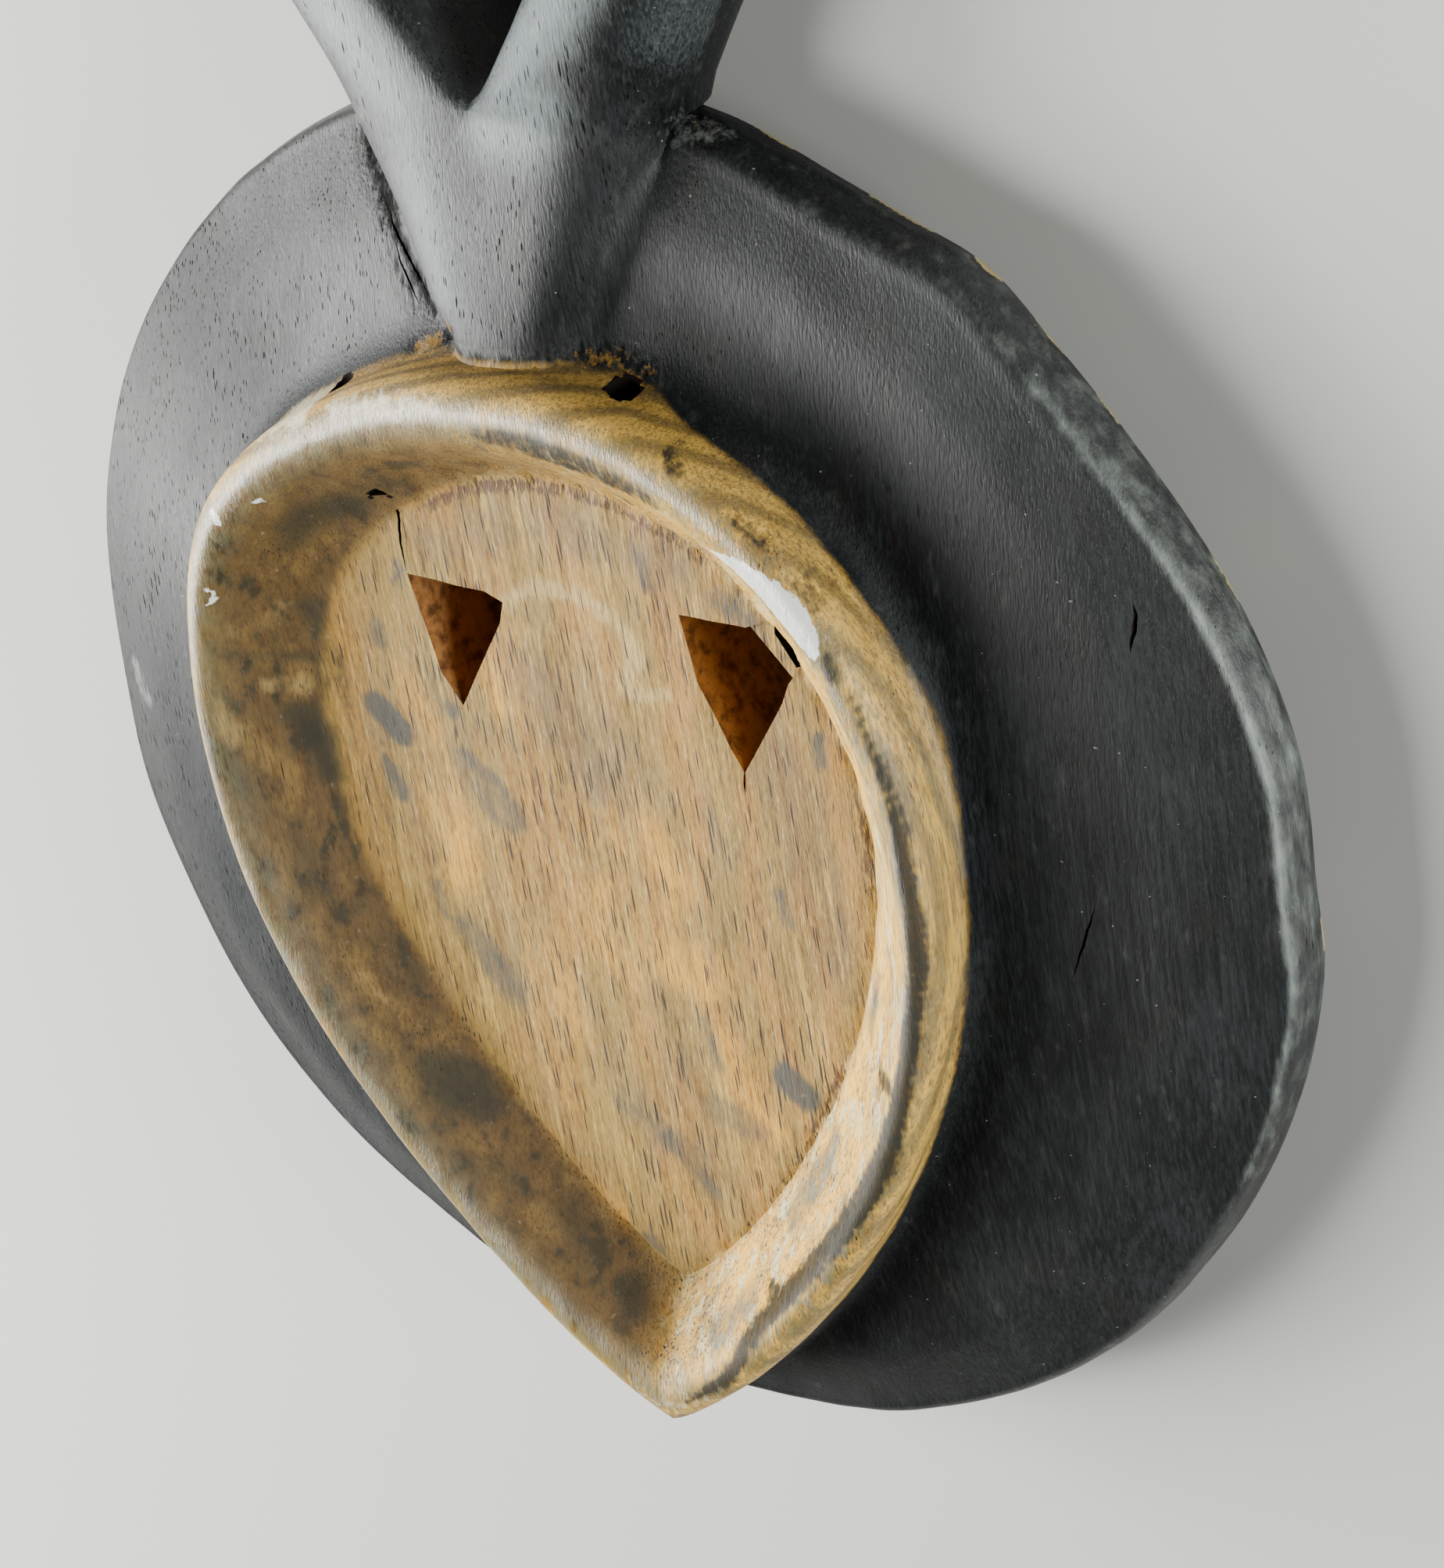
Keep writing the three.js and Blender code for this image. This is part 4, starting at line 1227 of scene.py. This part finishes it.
points = read_points(mask.data)
radius, turn = polar(points)
floor_edge, crest, wall, foot = (
    at_turn(rim_radius[index], turn) for index in (FLOOR_EDGE, CREST, WALL, FOOT)
)
upper = smooth_step(points[:, 2], ARRIS_Z - 6, ARRIS_Z - 4)
above_dome = points[:, 2] - back_height(radius)
outside_rim = np.minimum(above_dome - by_turn(PAINT_LINE, turn), wall + 1 - radius)
bare = np.where(radius < crest, 6, outside_rim)
in_hollow = upper * (1 - smooth_step(radius, crest - 4, crest + 2))
on_wall = in_hollow * smooth_step(radius - floor_edge, -1.5, 3)
on_horns = smooth_step(above_dome, 3, 8) * (points[:, 1] > 90)
from_seam = np.array([seam.find(point)[2] for point in points.tolist()])

past_arris = radius - at_turn(edge_radius - EDGE_ROUNDING, turn)
on_edge = smooth_step(past_arris, 1.2, 3.2) * smooth_step(points[:, 2], FRONT_PLANE - 1, FRONT_PLANE + 1)
# A painted highlight: a pale line along the arris, over a base of real wear.
edge_wear = WEAR_BASE + ARRIS_HIGHLIGHT * near(past_arris - ARRIS_HIGHLIGHT_AT, ARRIS_HIGHLIGHT_WIDTH)
chips = smooth_step(chip_depth(radius, turn, points[:, 2]), 0.2, 0.7)
chips *= (radius > DISC_RADIUS - 8) * (radius < DISC_RADIUS + 3)
chips *= 1 - smooth_step(points[:, 2], FRONT_PLANE + 2.5, FRONT_PLANE + 5)

# Sheen set as painted light and shade: by direction, and taken down in the rim's shadow, on the trunk's
# shaded side and on the upper right edge.
sheen = np.where(on_horns > 0.5, 1, by_turn(SHEEN, turn))
sheen *= 1 - 0.9 * by_turn(RIM_SHADE, turn) * near(radius - foot - SHADE_AT, SHADE_WIDTH)
sheen *= 1 - stroke_field(points, SHADED_TRUNK_SIDE, 6) * on_horns
shaded_edge = smooth_step(turn, *SHADED_EDGE_TURNS[:2]) * (turn < SHADED_EDGE_TURNS[2])
sheen *= 1 - 0.6 * on_edge * shaded_edge
print(f"{int((bare > 0).sum())} points in bare wood, {int((on_edge > 0.5).sum())} on the edge")

# %% [markdown]
# A field is stored on the mesh as an attribute, which the shader reads by name. That is the simplest way
# to put a mark in its place without an image: the mesh has a point every millimetre or two, and that is
# fine enough for a stain's outline.

# %% Fields on the mesh
fields = {
    "bare_wood": np.clip(bare, -6, 6) * upper - 6 * (1 - upper),
    "polish": upper * near(radius - crest, 4.5) * (bare > 0),
    "outer_wall": upper * smooth_step(radius, crest - 1, crest + 3),
    "brown_wall": on_wall * by_turn(BROWN_AND_SHADED_WALL, turn),
    "pale_wall": on_wall * by_turn(PALE_AND_LIT_WALL, turn),
    "torn_corner": in_hollow * near(radius - floor_edge + 1.2, 2.2) * by_turn(TORN_SHADED_CORNER, turn),
    "sheen": np.where(bare > 0, 1, sheen),
    # Painted shade in the crease at the trunk's foot, with some dirt.
    "seam": upper * near(from_seam, 1.4) * np.where(points[:, 0] > 0, 0.35, 1),
    "open_grain": np.where(on_horns > 0.5, 1, by_turn(OPEN_GRAIN, turn)),
    "silvered": upper * stroke_field(points, SILVERED_AND_HIGHLIT, 9),
    "bleached_lip": upper * stroke_field(points, BLEACHED_AND_HIGHLIT_LIP, 2.5),
    "edge_wear": on_edge * by_turn(EDGE_WEAR_AND_HIGHLIGHT, turn) * edge_wear,
    "chipped": chips,
    "grey_stain": in_hollow * stroke_field(points, GREY_STAINS, 1.6),
    "lip_mark": upper * stroke_field(points, LIP_MARKS, 1.5),
    "dark_stain": upper * stroke_field(points, DARK_STAINS_AND_SHADE, 3),
    "orange_zone": in_hollow * stroke_field(points, ORANGE_ZONES, 5),
    "dusty_zone": in_hollow * stroke_field(points, DUSTY_ZONES, 5),
    "pale_figure": in_hollow * stroke_field(points, PALE_FIGURE_AND_LIT_LEDGE, 1.8),
    "white_smear": upper * stroke_field(points, WHITE_SMEARS, 0.6),
    "raw_wood": upper * stroke_field(points, RAW_WOOD, 0.9),
    "gouged": upper * stroke_field(points, GOUGED, 1.2),
    "scuff": upper * stroke_field(points, SCUFFS, 1.5),
}
for name, values in fields.items():
    attribute = mask.data.attributes.new(name, "FLOAT", "POINT")
    attribute.data.foreach_set("value", np.asarray(values, np.float32))
print(f"{len(fields)} fields on {len(points)} points")

# %% [markdown]
# Now the wood itself: a pale, open-pored hardwood that was carved and never sanded. Solid patterns in the
# wood's own space are right for it, because a carver cuts through the growth layers, and the sloping
# walls then show them as curves. Each pattern is stretched along the grain, to a size in millimetres.

# %% Grain and cells
wood, tree, shader = new_material("carved hardwood, bare and stained black")
mask.data.materials.clear()
mask.data.materials.append(wood)
wood_place = node(tree, "ShaderNodeTexCoord").outputs["Object"]
marks = {name: node(tree, "ShaderNodeAttribute", attribute_name=name).outputs["Fac"] for name in fields}


def along_the_grain(across, lengthwise):
    """The wood's own space, with one unit as big as the given sizes in millimetres."""
    scale = (1 / (across * MM), 1 / (lengthwise * MM), 1 / (across * MM))
    return node(tree, "ShaderNodeMapping", {"Vector": wood_place, "Scale": scale}).outputs["Vector"]


def grain(across, lengthwise, detail=2.0, roughness=0.5):
    """A soft pattern from 0 to 1, stretched along the grain."""
    space = along_the_grain(across, lengthwise)
    sockets = {"Vector": space, "Scale": 1.0, "Detail": detail, "Roughness": roughness}
    return node(tree, "ShaderNodeTexNoise", sockets).outputs["Fac"]


def cells(across, lengthwise):
    """Distance from the middle of the nearest of many cells, long ones along the grain."""
    sockets = {"Vector": along_the_grain(across, lengthwise), "Scale": 1.0}
    return node(tree, "ShaderNodeTexVoronoi", sockets).outputs["Distance"]


print(f"{len(marks)} marks can be read by the shader")

# %% [markdown]
# Patterns are added up in shares, and a wash lays one colour over another where a pattern is strong, as a
# painter glazes. A mark's border is broken up by grain, because a stain creeps along the fibres.

# %% Mixtures and washes
def mixture(*parts):
    """Adds up patterns, each with its own share."""
    total = 0.0
    for pattern, share in parts:
        sockets = {0: pattern, 1: share, 2: total}
        total = node(tree, "ShaderNodeMath", sockets, operation="MULTIPLY_ADD").outputs[0]
    return total


def broken(mark, raggedness, across, lengthwise):
    """A mark whose border is broken up by the grain."""
    return mixture((marks[mark], 1.0), (grain(across, lengthwise, 3, 0.6), raggedness), (0.5, -raggedness))


def ramp(pattern, start, end, low=0.0, high=1.0):
    """Turns a pattern into a value that goes from low to high while the pattern goes from start to end."""
    limits = {"Value": pattern, "From Min": start, "From Max": end, "To Min": low, "To Max": high}
    return node(tree, "ShaderNodeMapRange", limits).outputs["Result"]


def wash(under, colour, pattern, start, end, most=1.0, where=1.0):
    """A colour laid over another: none of it where the pattern is at the start, most of it at the end."""
    under, colour = (linear(part) if isinstance(part, str) else part for part in (under, colour))
    limits = {"Value": pattern, "From Min": start, "From Max": end, "To Max": most}
    amount = node(tree, "ShaderNodeMapRange", limits, interpolation_type="SMOOTHSTEP").outputs["Result"]
    amount = node(tree, "ShaderNodeMath", {0: amount, 1: where}, operation="MULTIPLY").outputs[0]
    return node(tree, "ShaderNodeMix", {0: amount, 6: under, 7: colour}, data_type="RGBA").outputs[2]


def washes(under, *coats):
    """Lays several washes over a colour, one after another."""
    for coat in coats:
        under = wash(under, *coat)
    return under


print(f"{len(tree.nodes)} nodes before the first wash")

# %% [markdown]
# To the eye the wood has growth layers about 5 mm apart that run from chin to horns, streaks and fibres
# between them, and broad clouds. The pith, the middle of the rings, lay outside this block. Pores in such
# wood are a quarter of a millimetre wide and up to a centimetre long, and here they are drawn at nearly
# that size, because a finer one would vanish in the picture.

# %% Patterns of the grain
GROWTH_LAYER = 5.5
WAVE_PERIOD = 0.314
PITH = (-0.035, 0, -0.09)
PORE_ACROSS, PORE_ALONG, SHORT_PORE_ACROSS, SHORT_PORE_ALONG = 0.75, 13.0, 0.7, 7

from_pith = {"Vector": wood_place, "Location": [-part for part in PITH]}
layers = node(tree, "ShaderNodeTexWave", {
    "Vector": node(tree, "ShaderNodeMapping", from_pith).outputs["Vector"],
    "Scale": WAVE_PERIOD / (GROWTH_LAYER * MM),
    "Distortion": 7.0,
    "Detail": 2.0,
    "Detail Scale": 0.35,
    "Detail Roughness": 0.5,
}, wave_type="RINGS", rings_direction="Y").outputs["Fac"]
streaks = grain(2.6, 50, 3, 0.6)
fibres = grain(0.7, 22, 3)
fine_fibres = grain(0.4, 2.6, 3, 0.6)
clouds = grain(24, 40, 3, 0.6)
patches = grain(11, 20, 3, 0.55)
blotches = grain(4, 7, 4, 0.6)
flecks = grain(1.4, 3.5, 3, 0.6)
dashes = grain(0.55, 3, 2, 0.6)
specks = grain(0.8, 0.8, 0)
pores = mixture(
    (cells(PORE_ACROSS, PORE_ALONG), -1.0),
    (patches, 0.5),
    (marks["edge_wear"], -0.2),
    (marks["brown_wall"], -0.12),
    (marks["outer_wall"], -0.1),
)
short_pores = mixture(
    (cells(SHORT_PORE_ACROSS, SHORT_PORE_ALONG), -1.0),
    (patches, 0.4),
    (marks["open_grain"], 0.1),
    (0.1, -1.0),
)
print(f"growth layers {GROWTH_LAYER} mm apart, pores about {PORE_ACROSS * 0.3:.2f} mm wide")

# %% [markdown]
# The colours of bare wood are laid over each other as washes: warm tan, orange where it was oiled, a cool
# brown where dust settled, olive brown on the left wall, partly its own tone and partly painted shade where
# it turns from the light, and pale gold on the right wall, a painted light where it faces the window.
# The strong golds are yellower than they look in the end, because the view turns bright orange to pink.

# %% Bare wood
on_outside, on_pale_and_lit, on_brown_and_shaded = marks["outer_wall"], marks["pale_wall"], marks["brown_wall"]
bare_colour = washes(
    "#9c7c34",
    ("#ae8030", mixture((layers, 0.6), (fibres, 0.8)), 0.5, 1.1),
    ("#e2a428", broken("orange_zone", 1.8, 7, 18), 0.1, 1.2, 0.9),
    ("#826840", broken("dusty_zone", 1.8, 7, 18), 0.1, 1.1, 0.85),
    ("#7d6a45", mixture((clouds, 1), (streaks, 0.6)), 0.72, 1.05, 0.75),
    ("#d6ae4e", streaks, 0.55, 0.75, 0.7),
    ("#7e5829", streaks, 0.45, 0.27, 0.75),
)
bare_colour = washes(
    bare_colour,
    ("#efbc50", layers, 0.0, 0.7, 0.85, on_outside),
    ("#a5772c", mixture((patches, 1), (fibres, 0.5)), 0.68, 1.0, 0.7, on_outside),
    # Painted light: the right wall, which faces the window, is washed pale gold.
    ("#f6bc3a", mixture((patches, -1), (streaks, -1)), -1.25, -0.85, 0.95, on_pale_and_lit),
    ("#e6d6a0", mixture((blotches, 1), (streaks, 1.2)), 1.08, 1.3, 0.8, on_pale_and_lit),
    # Painted shade over the wall's own darker tone: the left wall, turned from the light, is washed olive
    # brown.
    ("#5b4727", on_brown_and_shaded, 0.05, 0.95, 0.93),
    ("#8a6e38", mixture((patches, 1), (blotches, 1.0)), 0.98, 1.3, 0.8, on_brown_and_shaded),
    ("#27291a", mixture((patches, -0.6), (blotches, -1.0)), -0.8, -0.62, 0.85, on_brown_and_shaded),
    ("#cdb171", broken("pale_figure", 0.8, 2.5, 5), 0.2, 1.0, 0.7),
)
light_fibres = mixture((fibres, -1), (fine_fibres, -1.2), (on_brown_and_shaded, -0.6))
bare_colour = washes(
    bare_colour,
    ("#4a2e10", mixture((fibres, 1), (fine_fibres, 1.2)), 1.02, 1.4, 0.6),
    ("#e6c684", light_fibres, -1.0, -0.7, 0.45),
    ("#24150a", pores, 0.01, 0.06, 0.95),
)
print("bare wood takes its colours from", len(tree.nodes), "nodes so far")

# %% [markdown]
# Stains and marks lie on the bare wood. Each field is broken up by grain before it becomes a colour, so
# that its border runs along the fibres, as a real stain's does. Skin oil left the lip grey and glossy,
# and where it was rubbed most it is bleached, with a painted highlight on its upper left. The corner
# between floor and wall is torn end grain, darkened as painted shade.

# %% Stains on the bare wood
polish, torn = marks["polish"], marks["torn_corner"]
bare_colour = washes(
    bare_colour,
    ("#42433e", mixture((marks["grey_stain"], 1), (blotches, 0.9), (0.5, -0.9)), 0.1, 0.9, 0.9),
    ("#25271c", mixture((marks["dark_stain"], 1), (blotches, 1.4), (0.5, -1.4)), 0.15, 1.0, 0.8),
    ("#77724f", mixture((flecks, 1), (fibres, 0.5)), 0.6, 0.85, 0.7, polish),
    # Painted highlight on the rubbed lip at the upper left, over bleached wood.
    ("#fbf2d6", broken("bleached_lip", 1.6, 1.5, 2.0), 0.2, 1.1, 0.8),
    ("#6f726a", mixture((polish, 0.6), (blotches, 1.5)), 1.3, 1.6, 0.6),
    ("#fff0b8", mixture((polish, 0.3), (dashes, 1)), 0.84, 1.0, 0.8, marks["bleached_lip"]),
    ("#22221e", broken("lip_mark", 1.1, 1.6, 6), 0.3, 0.8, 0.92),
    # Painted shade in the corner between floor and wall, over torn end grain.
    ("#4a2c10", mixture((torn, 0.7), (dashes, 1)), 0.98, 1.2, 0.85),
    ("#d6aa48", mixture((torn, 0.7), (dashes, -1)), 0.2, 0.38, 0.5),
)
print("and from", len(tree.nodes), "with its stains")

# %% [markdown]
# Black wood is stained and rubbed with wax. The stain soaks in, so the grain still shows as fine dark
# strokes, and wax gives a soft sheen with a grey bloom where it has dried, which on the horns and trunk is
# also a painted highlight. Along the edge of the disc it is rubbed grey, with a painted highlight along the
# arris, the crease at the trunk's foot is darkened as painted shade with some dirt, and chips show new
# wood. Specks are dust.

# %% Black stain
# Wax bloom and painted highlight on the lit horns and trunk.
bloom_and_highlight = mixture((marks["silvered"], 1), (fine_fibres, 0.5), (fibres, 0.3))
rough_cut = broken("gouged", 2.2, 1.2, 7)
black_colour = washes(
    "#141516",
    ("#2b2e2f", mixture((clouds, 0.6), (fibres, 0.6), (fine_fibres, 0.6)), 0.75, 1.15, 0.8),
    ("#2a2118", patches, 0.55, 0.8, 0.35),
    ("#8e989a", bloom_and_highlight, 0.5, 1.6, 0.9),
    # Grey wear of the edge, with a painted highlight along the arris.
    ("#b9c3ba", broken("edge_wear", 0.8, 3, 9), 0.05, 1.1, 0.9),
    # Painted shade in the crease at the trunk's foot, with some dirt.
    ("#120e0a", broken("seam", 1.4, 1.5, 3), 0.2, 1.2, 0.6),
    ("#171513", rough_cut, 0.4, 1.2, 0.6),
    ("#0a0a0a", short_pores, 0.02, 0.09, 0.75),
    ("#8c918c", broken("scuff", 1.4, 1.4, 3), 0.4, 1.0, 0.5),
    ("#b3a271", broken("chipped", 0.9, 1.2, 2.5), 0.5, 0.8, 0.85),
    ("#9b9d98", specks, 0.87, 0.89, 0.5),
)
print("and from", len(tree.nodes), "with the black")

# %% [markdown]
# The two finishes meet at the paint line, which the brush left ragged. Raw wood and white paint lie over
# both. The paint smear is thick and uneven, and greyer where it was rubbed.

# %% The two finishes, raw wood and paint together
paint_edge = mixture((marks["bare_wood"], 1), (flecks, 1.6), (0.5, -1.6))
smear_colour = wash("#f8f8f2", "#bcbdb2", blotches, 0.5, 0.7, 0.7)
colour = washes(
    black_colour,
    (bare_colour, paint_edge, -1.0, 1.6),
    ("#8a682c", broken("raw_wood", 1.8, 1.3, 2.8), 0.5, 0.9, 0.8),
    (smear_colour, broken("white_smear", 0.8, 0.9, 1.2), 0.35, 0.6, 0.97),
)
tree.links.new(colour, shader.inputs["Base Color"])
print(f"{len(tree.nodes)} nodes for the colour")

# %% [markdown]
# Waxed black is smoother than bare wood, and the lip has the polish that hands give. A pore, a gouge cut
# and the dirt of the seam have no sheen. Bump from pores and fibres is shallow, about a tenth of a
# millimetre. A pattern drives roughness, sheen and bump, and the other values stay as the shader has
# them, which suits wood: its index of refraction is near 1.5, and it isn't metallic.

# %% Gloss, sheen and bump
BUMP_DEPTH = 0.24
gloss_pattern = mixture((fibres, 0.6), (clouds, 0.4))
pore_shade = ramp(short_pores, 0.02, 0.09)
roughened = ramp(rough_cut, 0.3, 1.1)
gloss = mixture(
    (ramp(gloss_pattern, 0.35, 0.65, 0.44, 0.58), 1),
    (ramp(paint_edge, -1.0, 1.6, 0.0, 0.2), 1),
    (marks["polish"], -0.36),
    (roughened, 0.3),
    (marks["white_smear"], -0.2),
    (marks["lip_mark"], 0.25),
    (pore_shade, 0.3),
)
tree.links.new(gloss, shader.inputs["Roughness"])
shine = mixture(
    (marks["sheen"], 0.5),
    (marks["polish"], 0.4),
    (roughened, -0.45),
    (marks["seam"], -0.2),
    (marks["lip_mark"], -0.5),
    (pore_shade, -0.4),
)
tree.links.new(shine, shader.inputs["Specular IOR Level"])
uneven = mixture((marks["gouged"], 1), (marks["torn_corner"], 0.6))
rough_cuts = node(tree, "ShaderNodeMath", {0: uneven, 1: grain(1.0, 2.2, 3, 0.7)}, operation="MULTIPLY")
height = mixture(
    (fine_fibres, 1.6),
    (fibres, 0.4),
    (pore_shade, -0.6),
    (broken("white_smear", 0.35, 0.8, 1.6), 0.8),
    (rough_cuts.outputs[0], 5.0),
)
bump = node(tree, "ShaderNodeBump", {"Height": height, "Strength": 0.5, "Distance": BUMP_DEPTH * MM})
tree.links.new(bump.outputs["Normal"], shader.inputs["Normal"])
print(f"{len(tree.nodes)} nodes in the wood")

# %% [markdown]
# Inside the eyes the cut crosses the grain, so the wood is darker and redder there: partly end grain, which
# drinks more of whatever touches it, and partly painted shade and reddish bounce light of the deep holes.
# Cracks, string holes and the gap behind the ledge are black, as painted shade in them.

# %% Cut wood, and painted shade in the cuts
# End grain, with painted shade and bounce light inside the eye holes.
cut_wood, tree, shader = new_material("end grain and painted shade inside the eyes", Roughness=0.6)
wood_place = node(tree, "ShaderNodeTexCoord").outputs["Object"]
end_grain_and_shade = washes(
    "#a8743c",
    ("#55300f", grain(3.5, 3.5, 4, 0.6), 0.4, 0.7),
    ("#1d0d04", grain(1.2, 1.2, 3), 0.56, 0.8, 0.7),
)
tree.links.new(end_grain_and_shade, shader.inputs["Base Color"])
# Painted shade: near-black inside cracks, string holes and the gap behind the ledge.
shade_in_cuts, _, _ = new_material(
    "painted shade in cracks and holes", Base_Color=linear("#120d08"), Roughness=0.9, Specular_IOR_Level=0.1,
)
mask.data.materials.append(cut_wood)
mask.data.materials.append(shade_in_cuts)
print("materials:", [material.name for material in mask.data.materials])

# %% [markdown]
# A boolean cut doesn't say which faces it made, so each kind of cut face is known by its place and by
# which way it faces. The walls of the eyes stand upright between the eyes' corners. The wall of a string
# hole lies at its radius from its axis, and a crack's walls lie close to its path.

# %% Which faces are cut wood or painted shade
CUT_WOOD, SHADE_IN_CUTS = 1, 2
UPRIGHT, STEEP = 0.35, 0.6
EYE_HEIGHTS, EYE_ROWS, EYE_REACH = (10, FLOOR_Z - 0.5), (15, 49), 53
LEDGE_FROM_X = 40.5
GAP_REACH, GAP_HEIGHTS, GAP_WALLS_FROM = 5.5, (FLOOR_Z - 5, FLOOR_Z + 1), FLOOR_Z - 2
HOLE_ROWS, HOLE_SLACK = (60, 105), 0.12
CRACK_STEPS, CRACK_SLACK = 24, 0.9


def in_a_hole(x, y, z):
    """Whether a point lies on the wall of a string hole."""
    for side, middle in STRING_HOLE_X.items():
        lean = hole_lean(side)
        off_axis = (x - middle) * math.cos(lean) - (y - STRING_HOLE["y"]) * math.sin(lean)
        run = (x - middle) * math.sin(lean) + (y - STRING_HOLE["y"]) * math.cos(lean)
        radius = np.interp(run, STRING_HOLE["ends"], STRING_HOLE["radii"])
        off_wall = abs(math.hypot(off_axis, z - STRING_HOLE["z"]) - radius)
        if off_wall < HOLE_SLACK and HOLE_ROWS[0] < y < HOLE_ROWS[1]:
            return True
    return False


def in_the_gap(x, y, z, steepness):
    """Whether a point lies on a wall or on the bottom of the gap behind the ledge."""
    if np.hypot(*(gap_middle - (x, y))) >= GAP_REACH or not GAP_HEIGHTS[0] < z < GAP_HEIGHTS[1]:
        return False
    return steepness < UPRIGHT or z < GAP_WALLS_FROM


def in_an_eye(x, y, z):
    """Whether a point lies between the heights and rows of the eyes' walls, and not on the ledge."""
    on_ledge = x > LEDGE_FROM_X and z > FLOOR_Z - max(LEDGE_DEPTHS)
    between = EYE_HEIGHTS[0] < z < EYE_HEIGHTS[1] and EYE_ROWS[0] < y < EYE_ROWS[1]
    return between and abs(x) < EYE_REACH and not on_ledge


gap_middle = np.mean(GAP_BEHIND_LEDGE, axis=0)
crack_places = []
for crack in CRACKS:
    last = len(crack["path"]) - 1
    crack_places.extend(along(np.arange(last + 1), crack["path"], np.linspace(0, last, CRACK_STEPS)))
crack_places = np.array(crack_places)
for face in mask.data.polygons:
    x, y, z = face.center
    steepness = abs(face.normal.z)
    if in_the_gap(x, y, z, steepness) or in_a_hole(x, y, z):
        face.material_index = SHADE_IN_CUTS
    elif steepness < STEEP and in_an_eye(x, y, z):
        face.material_index = CUT_WOOD
    elif steepness < STEEP and z > ARRIS_Z and np.hypot(*(crack_places - (x, y)).T).min() < CRACK_SLACK:
        face.material_index = SHADE_IN_CUTS
slots = np.empty(len(mask.data.polygons), int)
mask.data.polygons.foreach_get("material_index", slots)
print("faces of wood, cut wood and dirt:", np.bincount(slots).tolist())

# %% [markdown]
# The mesh was made in millimetres around the middle of the disc. One step turns it to metres and puts it
# where the solid model is. The whole carving is shaded smooth, apart from edges sharper than 48 degrees,
# which are the cuts and the corners of the teeth. It then rides on the one body that the mask has.

# %% Place, riding and shading
SHARP_ANGLE = math.radians(48)
mask.data.transform(Matrix.Translation((0, MIDDLE_Y * MM, 0)) @ Matrix.Scale(MM, 4))
mask.data.shade_smooth()
mask.data.set_sharp_from_angle(angle=SHARP_ANGLE)
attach(mask, "root")
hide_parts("mask")
print("the mask is", np.ptp(read_points(mask.data), axis=0).round(3).tolist(), "m")
